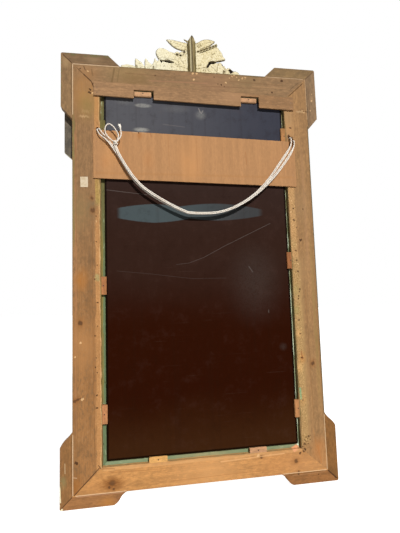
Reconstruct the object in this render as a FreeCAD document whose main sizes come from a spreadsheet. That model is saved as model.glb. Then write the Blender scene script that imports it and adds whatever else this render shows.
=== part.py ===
import FreeCAD, Part
import math
import os
import Sketcher
from FreeCAD import Matrix, Rotation, Vector

# Eared wall mirror, seen from behind: a mitred pine frame with a glued block on each side of every
# corner, a silvered pane held by nailed blocks, a notched batten, a thin crossboard, a hanging cord,
# a painted front with mouldings and a carved crest.
# X runs along the width, Y from the back (minus) to the front (plus), Z up. The origin lies under
# the middle of the lower ears, halfway between the batten's back and the edge moulding's front.

# Driving sizes in millimetres. Names that end in Share are shares of other sizes.
sizes = {
    # main frame
    "frameWidth": 720,
    "frameHeight": 1203,
    "stileWidth": 78,
    "topRailWidth": 75,
    "bottomRailWidth": 67,
    "memberDepth": 24,
    "rebateDepth": 11,
    "lipShare": 0.28,
    "cutOverrun": 5,
    "kerfHeight": 3,
    "kerfLength": 14,
    "kerfDepth": 5,
    "kerfDrop": 108,
    # ear blocks at the back: reach along the member, then the length of the shaped end
    "earWidth": 32,
    "upperSideEarReach": 132,
    "upperSideEarEnd": 36,
    "topEarReach": 102,
    "topEarEnd": 34,
    "lowerSideEarReach": 126,
    "lowerSideEarEnd": 38,
    "footEarReach": 106,
    "footEarEnd": 36,
    "sideOgeeRadius": 70,
    "footOgeeRadius": 34,
    "outerCornerRadius": 5,
    # pane and the gaps between its edges and the rebate walls
    "paneThickness": 5,
    "paneGapLeft": 11,
    "paneGapRight": 7,
    "paneGapTop": 8,
    "paneGapBottom": 13,
    # glazing blocks
    "blockWidth": 14,
    "blockLength": 50,
    "blockFit": 0.3,
    "blockChamfer": 1.5,
    "leftLowBlockRise": 137,
    "leftMiddleBlockShare": 0.459,
    "rightLowBlockRise": 114,
    "rightMiddleBlockShare": 0.52,
    "highBlockDrop": 118,
    "bottomBlockLeft": 133,
    "bottomBlockRight": 152,
    "topBlockLeft": 158,
    "topBlockRight": 168,
    # nails
    "nailDiameter": 1.8,
    "nailFit": 0.1,
    "nailReach": 17,
    "nailHeadDiameter": 3.8,
    "nailHeadThickness": 0.8,
    "nailEndInset": 9,
    "battenNailLowShare": 0.2,
    "battenNailHighShare": 0.55,
    "crossboardNailLowShare": 0.25,
    "crossboardNailHighShare": 0.75,
    # batten over the pane's top edge
    "battenLeftLap": 18,
    "battenRightLap": 31,
    "battenHeight": 42,
    "battenDepth": 5,
    "battenLap": 20,
    "battenDrop": 14,
    "notchRise": 3,
    "notchLeftRoom": 1.5,
    "notchRightRoom": 7,
    # crossboard
    "crossboardLeftLap": 20,
    "crossboardRightLap": 27,
    "crossboardHeight": 143.5,
    "crossboardDepth": 4,
    "crossboardLap": 267,
    "crossboardDrop": 13.6,
    # painted front
    "boardDepth": 12,
    "boardReveal": 18,
    "frontEarWidth": 25,
    "frontUpperEarReach": 259,
    "frontRightUpperEarReach": 132,
    "frontUpperEarEnd": 23,
    "frontLowerEarReach": 122,
    "frontLowerEarEnd": 23,
    "edgeWidth": 15,
    "edgeHeight": 10,
    "edgeInset": 2,
    "edgeBeadShare": 0.4,
    "edgeQuirkShare": 0.45,
    "edgeToeShare": 0.15,
    "edgeHollowAlongShare": 0.38,
    "edgeHollowRiseShare": 0.22,
    "sightOverhang": 2,
    "sightHeight": 17,
    "sightFlatShare": 0.42,
    "sightFlatEndShare": 0.35,
    "sightTopShare": 0.72,
    "sightHollowAlongShare": 0.68,
    "sightHollowRiseShare": 0.3,
    # crest
    "crestEarGap": 1,
    "crestRise": 130,
    "crestDepth": 20,
    "wingDepth": 14,
    "leafDepth": 10,
    "sprayDepth": 16,
    "crownShare": 0.86,
    "crownPlaceShare": 0.4,
    "strutWidth": 24.5,
    "strutDepth": 13,
    "strutRise": 127,
    "strutPoint": 16,
    "strutOffset": 3,
    "strutRidgeShare": 0.3,
    "strutBevelShare": 0.55,
    # label
    "labelWidth": 21,
    "labelHeight": 30,
    "labelThickness": 0.3,
    "labelInset": 22,
    "labelDrop": 368,
    # cord
    "cordDiameter": 7,
    "strandDiameter": 4.8,
    "cordBoreDiameter": 10.5,
    "cordBoreDepth": 12,
    "leftBoreInset": 7,
    "leftBoreDrop": 119.5,
    "innerRightBoreInset": 14,
    "innerRightBoreDrop": 122.5,
    "outerRightBoreInset": 24,
    "outerRightBoreDrop": 131.5,
    "knotDiameter": 14,
    "knotLength": 19,
}

doc = FreeCAD.newDocument("mirror")
sheet = doc.addObject("Spreadsheet::Sheet", "Sizes")
for row, (alias, value) in enumerate(sizes.items(), 1):
    sheet.set(f"A{row}", alias)
    sheet.set(f"B{row}", str(value))
    sheet.setAlias(f"B{row}", alias)
doc.recompute()


class Measure:
    """A size with its formula, so that one sum sets a bound property and places a shape alike."""

    def __init__(self, formula, value):
        self.formula = formula
        self.value = float(value)

    def joined(self, sign, other, value, swapped=False):
        pair = (other.formula, self.formula) if swapped else (self.formula, other.formula)
        return Measure(f"({pair[0]} {sign} {pair[1]})", value)

    def __add__(self, other):
        other = measure(other)
        return self.joined("+", other, self.value + other.value)

    def __sub__(self, other):
        other = measure(other)
        return self.joined("-", other, self.value - other.value)

    def __rsub__(self, other):
        other = measure(other)
        return self.joined("-", other, other.value - self.value, swapped=True)

    def __mul__(self, other):
        other = measure(other)
        return self.joined("*", other, self.value * other.value)

    def __truediv__(self, other):
        other = measure(other)
        return self.joined("/", other, self.value / other.value)

    def __neg__(self):
        return Measure(f"(0 - {self.formula})", -self.value)

    __radd__ = __add__
    __rmul__ = __mul__


def measure(value):
    if isinstance(value, Measure):
        return value
    return Measure(repr(float(value)), value)


def size(alias):
    return Measure(f"Sizes.{alias}", sheet.get(alias))


def bind(feature, name, value):
    feature.setExpression(name, measure(value).formula)


# Places that several pieces share
halfWidth = size("frameWidth") / 2
frameBottom = size("earWidth")
frameTop = frameBottom + size("frameHeight")
totalDepth = size("battenDepth") + size("memberDepth") + size("boardDepth") + size("edgeHeight")
back = size("battenDepth") - totalDepth / 2
memberFront = back + size("memberDepth")
boardFront = memberFront + size("boardDepth")
wallX = halfWidth - size("stileWidth")
wallTop = frameTop - size("topRailWidth")
wallBottom = frameBottom + size("bottomRailWidth")
sightX = wallX - size("stileWidth") * size("lipShare")
sightTop = wallTop - size("topRailWidth") * size("lipShare")
sightBottom = wallBottom + size("bottomRailWidth") * size("lipShare")
earFoot = halfWidth - size("topEarReach") - size("topEarEnd")
crestSpan = earFoot - size("crestEarGap")
leftBore = (-wallX - size("leftBoreInset"), wallTop - size("leftBoreDrop"))
innerBore = (wallX + size("innerRightBoreInset"), wallTop - size("innerRightBoreDrop"))
outerBore = (wallX + size("outerRightBoreInset"), wallTop - size("outerRightBoreDrop"))
boardInnerX = sightX + size("boardReveal")
boardInnerTop = sightTop + size("boardReveal")
boardInnerBottom = sightBottom - size("boardReveal")
nailHole = size("nailDiameter") + size("nailFit") * 2
headRecess = size("nailHeadDiameter") + size("nailFit") * 2
parts = []


def keep(feature, label):
    feature.Label = label
    parts.append(feature)
    return feature


def new_body(label, y=back):
    body = doc.addObject("PartDesign::Body", label)
    bind(body, "Placement.Base.y", y)
    return keep(body, label)


def new_sketch(body, name, role="XZ_Plane"):
    sketch = body.newObject("Sketcher::SketchObject", name)
    plane = next(item for item in body.Origin.OriginFeatures if item.Role == role)
    sketch.AttachmentSupport = (plane, [""])
    sketch.MapMode = "FlatFace"
    return sketch


def pin_point(sketch, geometry, end, x, y):
    """Hold one end of a sketch edge at x, y from the sketch's origin."""
    for kind, place in (("DistanceX", measure(x)), ("DistanceY", measure(y))):
        index = sketch.addConstraint(Sketcher.Constraint(kind, -1, 1, geometry, end, place.value))
        sketch.setExpression(f"Constraints[{index}]", place.formula)


def outline(body, name, corners, radii=None, role="XZ_Plane"):
    """A closed sketch through corners; radii gives the edges, by number, that are arcs."""
    radii = radii or {}
    sketch = new_sketch(body, name, role)
    points = [Vector(measure(x).value, measure(y).value, 0) for x, y in corners]
    starts = []
    for number, start in enumerate(points):
        end = points[(number + 1) % len(points)]
        if number not in radii:
            sketch.addGeometry(Part.LineSegment(start, end), False)
            starts.append((1, 2))
            continue
        radius = measure(radii[number])
        half = (end - start).Length / 2
        sagitta = abs(radius.value) - math.sqrt(radius.value ** 2 - half ** 2)
        side = Vector(start.y - end.y, end.x - start.x, 0).normalize() * math.copysign(sagitta, radius.value)
        edge = Part.Arc(start, (start + end) / 2 + side, end).toShape()
        arc = Part.ArcOfCircle(edge.Curve, edge.FirstParameter, edge.LastParameter)
        flipped = edge.Curve.Axis.z < 0
        if flipped:
            circle = Part.Circle(edge.Curve.Center, Vector(0, 0, 1), edge.Curve.Radius)
            arc = Part.ArcOfCircle(circle, circle.parameter(end), circle.parameter(start))
        geometry = sketch.addGeometry(arc, False)
        starts.append((2, 1) if flipped else (1, 2))
        bound = Measure(radius.formula if radius.value > 0 else f"(0 - {radius.formula})", abs(radius.value))
        index = sketch.addConstraint(Sketcher.Constraint("Radius", geometry, bound.value))
        sketch.setExpression(f"Constraints[{index}]", bound.formula)
    for number, (first, last) in enumerate(starts):
        following = (number + 1) % len(starts)
        sketch.addConstraint(Sketcher.Constraint("Coincident", number, last, following, starts[following][0]))
    for number, (x, y) in enumerate(corners):
        pin_point(sketch, number, starts[number][0], x, y)
    return sketch


def pad(body, name, sketch, length, reverse=True):
    feature = body.newObject("PartDesign::Pad", name)
    feature.Profile = sketch
    feature.Reversed = reverse
    bind(feature, "Length", length)
    return feature


def pocket(body, name, sketch, depth, reverse=False):
    feature = body.newObject("PartDesign::Pocket", name)
    feature.Profile = sketch
    feature.Reversed = reverse
    bind(feature, "Length", depth)
    return feature


def bores(body, name, places, diameter, depth):
    """Round holes from the back plane, each at an x, z of its own."""
    sketch = new_sketch(body, name + "_holes")
    for x, z in places:
        centre = Vector(measure(x).value, measure(z).value, 0)
        circle = sketch.addGeometry(Part.Circle(centre, Vector(0, 0, 1), measure(diameter).value / 2), False)
        pin_point(sketch, circle, 3, x, z)
        index = sketch.addConstraint(Sketcher.Constraint("Radius", circle, measure(diameter).value / 2))
        sketch.setExpression(f"Constraints[{index}]", (measure(diameter) / 2).formula)
    return pocket(body, name, sketch, depth)


# Glazing blocks: side, place along the side, gap to fill beside the pane
wallRise = wallTop - wallBottom
leftMiddleBlock = wallBottom + wallRise * size("leftMiddleBlockShare")
rightMiddleBlock = wallBottom + wallRise * size("rightMiddleBlockShare")
glazing = {
    "glazing_block_left_low": ("left", wallBottom + size("leftLowBlockRise"), size("paneGapLeft")),
    "glazing_block_left_middle": ("left", leftMiddleBlock, size("paneGapLeft")),
    "glazing_block_left_high": ("left", wallTop - size("highBlockDrop"), size("paneGapLeft")),
    "glazing_block_right_low": ("right", wallBottom + size("rightLowBlockRise"), size("paneGapRight")),
    "glazing_block_right_middle": ("right", rightMiddleBlock, size("paneGapRight")),
    "glazing_block_right_high": ("right", wallTop - size("highBlockDrop"), size("paneGapRight")),
    "glazing_block_bottom_left": ("bottom", -size("bottomBlockLeft"), size("paneGapBottom")),
    "glazing_block_bottom_right": ("bottom", size("bottomBlockRight"), size("paneGapBottom")),
    "glazing_block_top_left": ("top", -size("topBlockLeft"), size("paneGapTop")),
    "glazing_block_top_right": ("top", size("topBlockRight"), size("paneGapTop")),
}


def block_nail(side, along, gap):
    """The x, z of a glazing block's nail: the middle of the block, over its foot."""
    inset = gap / 2
    return {
        "left": (-wallX + inset, along),
        "right": (wallX - inset, along),
        "bottom": (along, wallBottom + inset),
        "top": (along, wallTop - inset),
    }[side]


def board_ends(board):
    """The x of both ends of a board across the stiles, and the height of its left lower corner."""
    leftEnd = -wallX - size(f"{board}LeftLap")
    rightEnd = wallX + size(f"{board}RightLap")
    return leftEnd, rightEnd, wallTop - size(f"{board}Lap")


def end_nails(board):
    """Two nails near each end of a board that lies across the stiles, a little out of level."""
    leftEnd, rightEnd, low = board_ends(board)
    height, drop = size(f"{board}Height"), size(f"{board}Drop")
    places = []
    for x in (leftEnd + size("nailEndInset"), rightEnd - size("nailEndInset")):
        edge = low - (x - leftEnd) * drop / (rightEnd - leftEnd)
        places.append((x, edge + height * size(f"{board}NailLowShare")))
        places.append((x, edge + height * size(f"{board}NailHighShare")))
    return places


battenNails = end_nails("batten")
crossboardNails = end_nails("crossboard")


def member_nails(side):
    """Every nail place that one frame member carries."""
    places = [block_nail(*block) for block in glazing.values() if block[0] == side]
    for x, z in battenNails + crossboardNails:
        if side == "left" and x.value < 0 or side == "right" and x.value > 0:
            places.append((x, z))
    return places


def frame_member(label, corners, rebate, side, cordPlaces=()):
    """A mitred length of pine with a rebate for the pane, holes for nails and bores for the cord."""
    body = new_body(label)
    pad(body, label + "_length", outline(body, label + "_face", corners), size("memberDepth"))
    pocket(body, label + "_rebate", outline(body, label + "_rebate_face", rebate), size("rebateDepth"))
    bores(body, label + "_nail_holes", member_nails(side), nailHole, size("nailReach"))
    if cordPlaces:
        bores(body, label + "_cord_bores", cordPlaces, size("cordBoreDiameter"), size("cordBoreDepth"))
    return body


over = size("cutOverrun")
frame_member(
    "left_stile",
    [(-halfWidth, frameBottom), (-sightX, sightBottom), (-sightX, sightTop), (-halfWidth, frameTop)],
    [(-wallX, frameBottom), (-sightX + over, frameBottom), (-sightX + over, frameTop), (-wallX, frameTop)],
    "left",
    [leftBore],
)
rightStile = frame_member(
    "right_stile",
    [(halfWidth, frameBottom), (halfWidth, frameTop), (sightX, sightTop), (sightX, sightBottom)],
    [(wallX, frameBottom), (wallX, frameTop), (sightX - over, frameTop), (sightX - over, frameBottom)],
    "right",
    [innerBore, outerBore],
)
frame_member(
    "top_rail",
    [(-halfWidth, frameTop), (-sightX, sightTop), (sightX, sightTop), (halfWidth, frameTop)],
    [(-halfWidth, wallTop), (-halfWidth, sightTop - over), (halfWidth, sightTop - over), (halfWidth, wallTop)],
    "top",
)
frame_member(
    "bottom_rail",
    [(-halfWidth, frameBottom), (halfWidth, frameBottom), (sightX, sightBottom), (-sightX, sightBottom)],
    [
        (-halfWidth, wallBottom),
        (halfWidth, wallBottom),
        (halfWidth, sightBottom + over),
        (-halfWidth, sightBottom + over),
    ],
    "bottom",
)

# An old saw kerf in the right stile's outer edge
kerfTop = frameTop - size("kerfDrop")
kerf = outline(
    rightStile,
    "right_stile_kerf_face",
    [
        (halfWidth - size("kerfLength"), kerfTop - size("kerfHeight")),
        (halfWidth + over, kerfTop - size("kerfHeight")),
        (halfWidth + over, kerfTop),
        (halfWidth - size("kerfLength"), kerfTop),
    ],
)
pocket(rightStile, "right_stile_kerf", kerf, size("kerfDepth"))


leftward, rightward, upward, downward = (-1, 0, 0), (1, 0, 0), (0, 0, 1), (0, 0, -1)
roundingShare = 1 - math.sqrt(0.5)


def place_body(body, x, y, z, alongX, alongY, alongZ):
    """Set a body down with its own axes along three directions."""
    body.Placement.Rotation = Rotation(Vector(*alongX), Vector(*alongY), Vector(*alongZ), "XYZ")
    for axis, place in zip("xyz", (x, y, z)):
        bind(body, f"Placement.Base.{axis}", place)


def ear_block(label, reach, end, ogee, x, z, inward, outward):
    """A glued block: mitred and rounded at the frame's corner, sloped or ogee at its far end."""
    body = new_body(label)
    width = size("earWidth")
    corner = size("outerCornerRadius")
    # the rounding is a quarter circle that the two blocks of a corner share, cut by their mitre
    onMitre = corner * roundingShare
    corners = [(0, 0), (reach + end, 0), (reach, width), (corner - width, width)]
    corners.append((onMitre - width, width - onMitre))
    radii = {3: -corner}
    if ogee:
        # hollow beside the frame, round beside the block's own outer face
        corners.insert(2, (reach + end / 2, width / 2))
        radii = {1: ogee, 2: -ogee, 4: -corner}
    sketch = outline(body, label + "_face", corners, radii)
    pad(body, label + "_thickness", sketch, size("memberDepth"))
    # the block's thickness runs from the back plane to the front whichever way its outline is turned
    side = Vector(*inward).cross(Vector(*outward))
    depthWay = (0, -round(side.y), 0)
    y = back if depthWay[1] > 0 else memberFront
    place_body(body, x, y, z, inward, depthWay, outward)
    return body


upperEar = (size("upperSideEarReach"), size("upperSideEarEnd"), None)
topEar = (size("topEarReach"), size("topEarEnd"), None)
lowerEar = (size("lowerSideEarReach"), size("lowerSideEarEnd"), size("sideOgeeRadius"))
footEar = (size("footEarReach"), size("footEarEnd"), size("footOgeeRadius"))
ear_block("ear_left_upper_side", *upperEar, -halfWidth, frameTop, downward, leftward)
ear_block("ear_left_top", *topEar, -halfWidth, frameTop, rightward, upward)
ear_block("ear_right_upper_side", *upperEar, halfWidth, frameTop, downward, rightward)
ear_block("ear_right_top", *topEar, halfWidth, frameTop, leftward, upward)
ear_block("ear_left_lower_side", *lowerEar, -halfWidth, frameBottom, upward, leftward)
ear_block("ear_left_foot", *footEar, -halfWidth, frameBottom, rightward, downward)
ear_block("ear_right_lower_side", *lowerEar, halfWidth, frameBottom, upward, rightward)
ear_block("ear_right_foot", *footEar, halfWidth, frameBottom, leftward, downward)


def mirror_pane():
    """The silvered glass, flat on the lip at the bottom of the rebate."""
    pane = keep(doc.addObject("Part::Box", "mirror_pane"), "mirror_pane")
    bind(pane, "Length", wallX * 2 - size("paneGapLeft") - size("paneGapRight"))
    bind(pane, "Width", size("paneThickness"))
    bind(pane, "Height", wallTop - wallBottom - size("paneGapTop") - size("paneGapBottom"))
    bind(pane, "Placement.Base.x", -wallX + size("paneGapLeft"))
    bind(pane, "Placement.Base.y", back + size("rebateDepth") - size("paneThickness"))
    bind(pane, "Placement.Base.z", wallBottom + size("paneGapBottom"))


def glazing_block(label, side, along, gap):
    """A short pine block: its foot fills the gap beside the pane, its lip lies over the pane."""
    body = new_body(label)
    width = size("blockWidth")
    lip = size("rebateDepth") - size("paneThickness")
    foot = gap - size("blockFit")
    chamfer = size("blockChamfer")
    corners = [
        (0, 0),
        (width - chamfer, 0),
        (width, chamfer),
        (width, lip),
        (foot, lip),
        (foot, size("rebateDepth")),
        (0, size("rebateDepth")),
    ]
    sketch = outline(body, label + "_end", corners, role="XY_Plane")
    pad(body, label + "_length", sketch, size("blockLength"), reverse=False)
    # the nail's hole runs through the foot, halfway along
    middle = size("blockLength") / 2
    bores(body, label + "_nail_hole", [(gap / 2, middle)], nailHole, size("rebateDepth") + over)
    bores(body, label + "_nail_recess", [(gap / 2, middle)], headRecess, size("nailHeadThickness"))
    depth = (0, 1, 0)
    if side == "left":
        place_body(body, -wallX, back, along - middle, rightward, depth, upward)
    elif side == "right":
        place_body(body, wallX, back, along + middle, leftward, depth, downward)
    elif side == "bottom":
        place_body(body, along + middle, back, wallBottom, upward, depth, leftward)
    else:
        place_body(body, along - middle, back, wallTop, downward, depth, rightward)


mirror_pane()
for label, block in glazing.items():
    glazing_block(label, *block)


def sloped_board(label, board, nailPlaces):
    """A thin board across the stiles, a little out of level, with a hole for each nail."""
    depth, height, drop = (size(board + name) for name in ("Depth", "Height", "Drop"))
    leftEnd, rightEnd, low = board_ends(board)
    body = new_body(label, back - depth)
    corners = [
        (leftEnd, low),
        (rightEnd, low - drop),
        (rightEnd, low - drop + height),
        (leftEnd, low + height),
    ]
    pad(body, label + "_thickness", outline(body, label + "_face", corners), depth)
    bores(body, label + "_nail_holes", nailPlaces, nailHole, depth + over)
    bores(body, label + "_nail_recesses", nailPlaces, headRecess, size("nailHeadThickness"))
    return body


batten = sloped_board("top_batten", "batten", battenNails)
sloped_board("crossboard", "crossboard", crossboardNails)


def batten_notch(name, middle):
    """A notch in the batten's lower edge that leaves a top glazing block open to the back."""
    left = middle - size("blockLength") / 2 - size("notchLeftRoom")
    right = middle + size("blockLength") / 2 + size("notchRightRoom")
    top = wallTop + size("notchRise")
    low = wallTop - size("battenLap") - size("battenDrop") - over
    corners = [(left, low), (right, low), (right, top), (left, top)]
    pocket(batten, name, outline(batten, name + "_face", corners), size("battenDepth") + over)


batten_notch("left_notch", -size("topBlockLeft"))
batten_notch("right_notch", size("topBlockRight"))


def nail(x, z, surface, tip):
    """A round nail along Y, its head driven flush with the surface and its shank down to the tip."""
    radius = size("nailDiameter").value / 2
    shank = Part.makeCylinder(radius, tip - surface, Vector(x, surface, z), Vector(0, 1, 0))
    thickness = size("nailHeadThickness").value
    headRadius = size("nailHeadDiameter").value / 2
    head = Part.makeCylinder(headRadius, thickness, Vector(x, surface, z), Vector(0, 1, 0))
    return shank.fuse(head).removeSplitter()


def nails(label, places, surface):
    tip = (back + size("nailReach")).value
    group = [nail(measure(x).value, measure(z).value, surface.value, tip) for x, z in places]
    feature = keep(doc.addObject("Part::Feature", label), label)
    feature.Shape = Part.Compound(group)


nails("glazing_block_nails", [block_nail(*block) for block in glazing.values()], back)
nails("batten_nails", battenNails, back - size("battenDepth"))
nails("crossboard_nails", crossboardNails, back - size("crossboardDepth"))


def paper_label():
    label = keep(doc.addObject("Part::Box", "paper_label"), "paper_label")
    bind(label, "Length", size("labelWidth"))
    bind(label, "Width", size("labelThickness"))
    bind(label, "Height", size("labelHeight"))
    bind(label, "Placement.Base.x", -halfWidth + size("labelInset"))
    bind(label, "Placement.Base.y", back - size("labelThickness"))
    bind(label, "Placement.Base.z", frameTop - size("labelDrop"))


paper_label()

# The eared outline of the front, side by side, each from corner to corner
earX = halfWidth + size("frontEarWidth")
earTop = frameTop + size("frontEarWidth")
earBottom = frameBottom - size("frontEarWidth")
upperEarLow = {
    "left": frameTop - size("frontUpperEarReach"),
    "right": frameTop - size("frontRightUpperEarReach"),
}
lowerEarHigh = frameBottom + size("frontLowerEarReach")
topEarEnd = halfWidth - size("topEarReach")
footEarEnd = halfWidth - size("footEarReach")


def side_points(side):
    """Height and distance from the middle of a side's corners, from the top down."""
    return [
        (earTop, earX),
        (upperEarLow[side], earX),
        (upperEarLow[side] - size("frontUpperEarEnd"), halfWidth),
        (lowerEarHigh + size("frontLowerEarEnd"), halfWidth),
        (lowerEarHigh, earX),
        (earBottom, earX),
    ]


leftSide = [(-x, z) for z, x in side_points("left")]
rightSide = [(x, z) for z, x in reversed(side_points("right"))]
bottomSide = [
    (-earX, earBottom),
    (-footEarEnd, earBottom),
    (-footEarEnd + size("footEarEnd"), frameBottom),
    (footEarEnd - size("footEarEnd"), frameBottom),
    (footEarEnd, earBottom),
    (earX, earBottom),
]
topSide = [
    (earX, earTop),
    (topEarEnd, earTop),
    (topEarEnd - size("topEarEnd"), frameTop),
    (-topEarEnd + size("topEarEnd"), frameTop),
    (-topEarEnd, earTop),
    (-earX, earTop),
]
frontSides = {"left": leftSide, "bottom": bottomSide, "right": rightSide, "top": topSide}
boardInner = {
    "left": [(-boardInnerX, boardInnerBottom), (-boardInnerX, boardInnerTop)],
    "bottom": [(boardInnerX, boardInnerBottom), (-boardInnerX, boardInnerBottom)],
    "right": [(boardInnerX, boardInnerTop), (boardInnerX, boardInnerBottom)],
    "top": [(-boardInnerX, boardInnerTop), (boardInnerX, boardInnerTop)],
}


def front_board(side):
    """A painted board with its ears, mitred from the outer corners to the inner ones."""
    label = f"front_board_{side}"
    body = new_body(label, memberFront)
    sketch = outline(body, label + "_face", frontSides[side] + boardInner[side])
    pad(body, label + "_thickness", sketch, size("boardDepth"))


for side in frontSides:
    front_board(side)


def profile_wire(edges):
    return Part.Wire([edge.toShape() for edge in edges])


def edge_profile():
    """Outer moulding: a half-round bead, a quirk and a hollow that runs out over the board."""
    width, height = size("edgeWidth").value, size("edgeHeight").value
    start = size("edgeInset").value
    bead = height * sizes["edgeBeadShare"]
    quirk = height * sizes["edgeQuirkShare"]
    toe = height * sizes["edgeToeShare"]
    beadEnd = start + 2 * bead
    end = start + width
    hollow = Vector(
        beadEnd + (end - beadEnd) * sizes["edgeHollowAlongShare"],
        toe + (quirk - toe) * sizes["edgeHollowRiseShare"],
    )
    return profile_wire([
        Part.LineSegment(Vector(start, 0), Vector(start, height - bead)),
        Part.Arc(Vector(start, height - bead), Vector(start + bead, height), Vector(beadEnd, height - bead)),
        Part.LineSegment(Vector(beadEnd, height - bead), Vector(beadEnd, quirk)),
        Part.Arc(Vector(beadEnd, quirk), hollow, Vector(end, toe)),
        Part.LineSegment(Vector(end, toe), Vector(end, 0)),
        Part.LineSegment(Vector(end, 0), Vector(start, 0)),
    ])


def sight_profile():
    """Inner moulding: a fillet outside, a hollow falling to a flat that carries the beads."""
    reveal, height = size("boardReveal").value, size("sightHeight").value
    edge = -size("sightOverhang").value
    flat = height * sizes["sightFlatShare"]
    flatEnd = reveal * sizes["sightFlatEndShare"]
    top = reveal * sizes["sightTopShare"]
    hollow = Vector(
        flatEnd + (top - flatEnd) * sizes["sightHollowAlongShare"],
        flat + (height - flat) * sizes["sightHollowRiseShare"],
    )
    return profile_wire([
        Part.LineSegment(Vector(edge, 0), Vector(edge, flat)),
        Part.LineSegment(Vector(edge, flat), Vector(flatEnd, flat)),
        Part.Arc(Vector(flatEnd, flat), hollow, Vector(top, height)),
        Part.LineSegment(Vector(top, height), Vector(reveal, height)),
        Part.LineSegment(Vector(reveal, height), Vector(reveal, 0)),
        Part.LineSegment(Vector(reveal, 0), Vector(edge, 0)),
    ])


def mitre_section(profile, before, here, after, base):
    """The profile laid in the mitre plane of a corner, its width stretched to suit the turn."""
    first = (here - before).normalize()
    second = (after - here).normalize()
    inwardFirst = Vector(-first.z, 0, first.x)
    inwardSecond = Vector(-second.z, 0, second.x)
    run = (inwardFirst + inwardSecond) / (1 + inwardFirst.dot(inwardSecond))
    across = Vector(0, 1, 0).cross(run)
    place = Matrix(run.x, 0, across.x, here.x, 0, 1, 0, base, run.z, 0, across.z, here.z, 0, 0, 0, 1)
    return profile.transformGeometry(place)


def moulding(label, loop, first, last, profile, base):
    """A mitred moulding along part of a closed loop of corners."""
    corners = [Vector(measure(x).value, 0, measure(z).value) for x, z in loop]
    count = len(corners)
    sections = []
    for number in range(first, last + 1):
        before, here, after = (corners[(number + step) % count] for step in (-1, 0, 1))
        sections.append(mitre_section(profile, before, here, after, base.value))
    feature = keep(doc.addObject("Part::Feature", label), label)
    feature.Shape = Part.makeLoft(sections, True, True)


frontLoop = []
starts = {}
for side, points in frontSides.items():
    starts[side] = len(frontLoop)
    frontLoop += points[:-1]
for side, start in starts.items():
    end = start + len(frontSides[side]) - 1
    moulding(f"edge_moulding_{side}", frontLoop, start, end, edge_profile(), boardFront)
# walked the other way round, so that the profile's width runs from the sight edge to the boards
sightLoop = [(-sightX, sightTop), (sightX, sightTop), (sightX, sightBottom), (-sightX, sightBottom)]
for number, side in enumerate(("top", "right", "bottom", "left")):
    moulding(f"sight_moulding_{side}", sightLoop, number, number + 1, sight_profile(), memberFront)


def strut():
    """The ridged batten that stands on the top rail behind the crest, pointed at its top."""
    body = new_body("crest_strut", memberFront - size("strutDepth"))
    half = size("strutWidth") / 2
    middle = -size("strutOffset")
    shoulder = frameTop + size("strutRise") - size("strutPoint")
    corners = [
        (middle - half, frameTop),
        (middle + half, frameTop),
        (middle + half, shoulder),
        (middle, frameTop + size("strutRise")),
        (middle - half, shoulder),
    ]
    pad(body, "crest_strut_thickness", outline(body, "crest_strut_face", corners), size("strutDepth"))
    bevelDepth = size("strutDepth") * size("strutBevelShare")
    ridge = half * size("strutRidgeShare")
    for name, way in (("left", -1), ("right", 1)):
        bevel = [
            (middle + half * way, bevelDepth),
            (middle + ridge * way, 0),
            (middle + ridge * way, -over),
            (middle + (half + over) * way, -over),
            (middle + (half + over) * way, bevelDepth),
        ]
        face = outline(body, f"crest_strut_{name}_bevel_face", bevel, role="XY_Plane")
        pocket(body, f"crest_strut_{name}_bevel", face, frameTop + size("strutRise") + over, reverse=True)


strut()

# Outlines of the crest, as shares of the room beside its middle and of its rise above the top rail
leftLeafShares = [(-0.065, 0.62), (-0.204, 0.675), (-0.291, 0.785), (-0.361, 0.905), (-0.234, 0.92),
    (-0.108, 0.865), (0, 0.8)]
rightLeafShares = [(0, 0.64), (0.126, 0.72), (0.246, 0.815), (0.328, 0.945), (0.282, 1),
    (0.175, 0.985), (0.081, 0.88), (-0.011, 0.8)]
leftWingShares = [(-0.032, 0.24), (-0.269, 0.345), (-0.426, 0.375), (-0.486, 0.43), (-0.511, 0.592),
    (-0.457, 0.668), (-0.35, 0.63), (-0.211, 0.575), (-0.054, 0.585)]
rightWingShares = [(0, 0.3), (0.161, 0.31), (0.314, 0.43), (0.47, 0.468), (0.441, 0.6), (0.395, 0.76),
    (0.328, 0.815), (0.202, 0.73), (0.054, 0.61)]
centreShares = [(-0.264, 0), (-0.253, 0.3), (-0.129, 0.42), (-0.081, 0.7), (-0.032, 0.87),
    (0.032, 0.86), (0.091, 0.68), (0.129, 0.42), (0.221, 0.27), (0.231, 0)]
leftSprayShares = [(-0.28, 0.3), (-0.409, 0.335), (-0.522, 0.4), (-0.57, 0.3), (-0.619, 0.31),
    (-0.659, 0.385), (-0.687, 0.225), (-0.732, 0.33), (-0.791, 0.34), (-0.809, 0.185), (-0.915, 0.19),
    (-0.995, 0.13)]
rightSprayShares = [(0.215, 0.21), (0.248, 0.325), (0.317, 0.372), (0.43, 0.355), (0.522, 0.255),
    (0.605, 0.185), (0.721, 0.155), (0.893, 0.13), (0.995, 0.11)]


def crest_point(share, y):
    return Vector(share[0] * crestSpan.value, y, frameTop.value + share[1] * size("crestRise").value)


def crowned_form(shares, start, depth):
    """A closed smooth outline, widest at its middle and drawn in at the back and the front."""
    middle = [sum(share[axis] for share in shares) / len(shares) for axis in (0, 1)]
    sections = []
    drawnIn = sizes["crownShare"]
    for placeShare, widthShare in ((0, drawnIn), (sizes["crownPlaceShare"], 1), (1, drawnIn)):
        ring = [[middle[axis] + (share[axis] - middle[axis]) * widthShare for axis in (0, 1)] for share in shares]
        curve = Part.BSplineCurve()
        curve.interpolate([crest_point(share, start + depth * placeShare) for share in ring], PeriodicFlag=True)
        sections.append(Part.Wire(curve.toShape()))
    return Part.makeLoft(sections, True, True)


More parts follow.
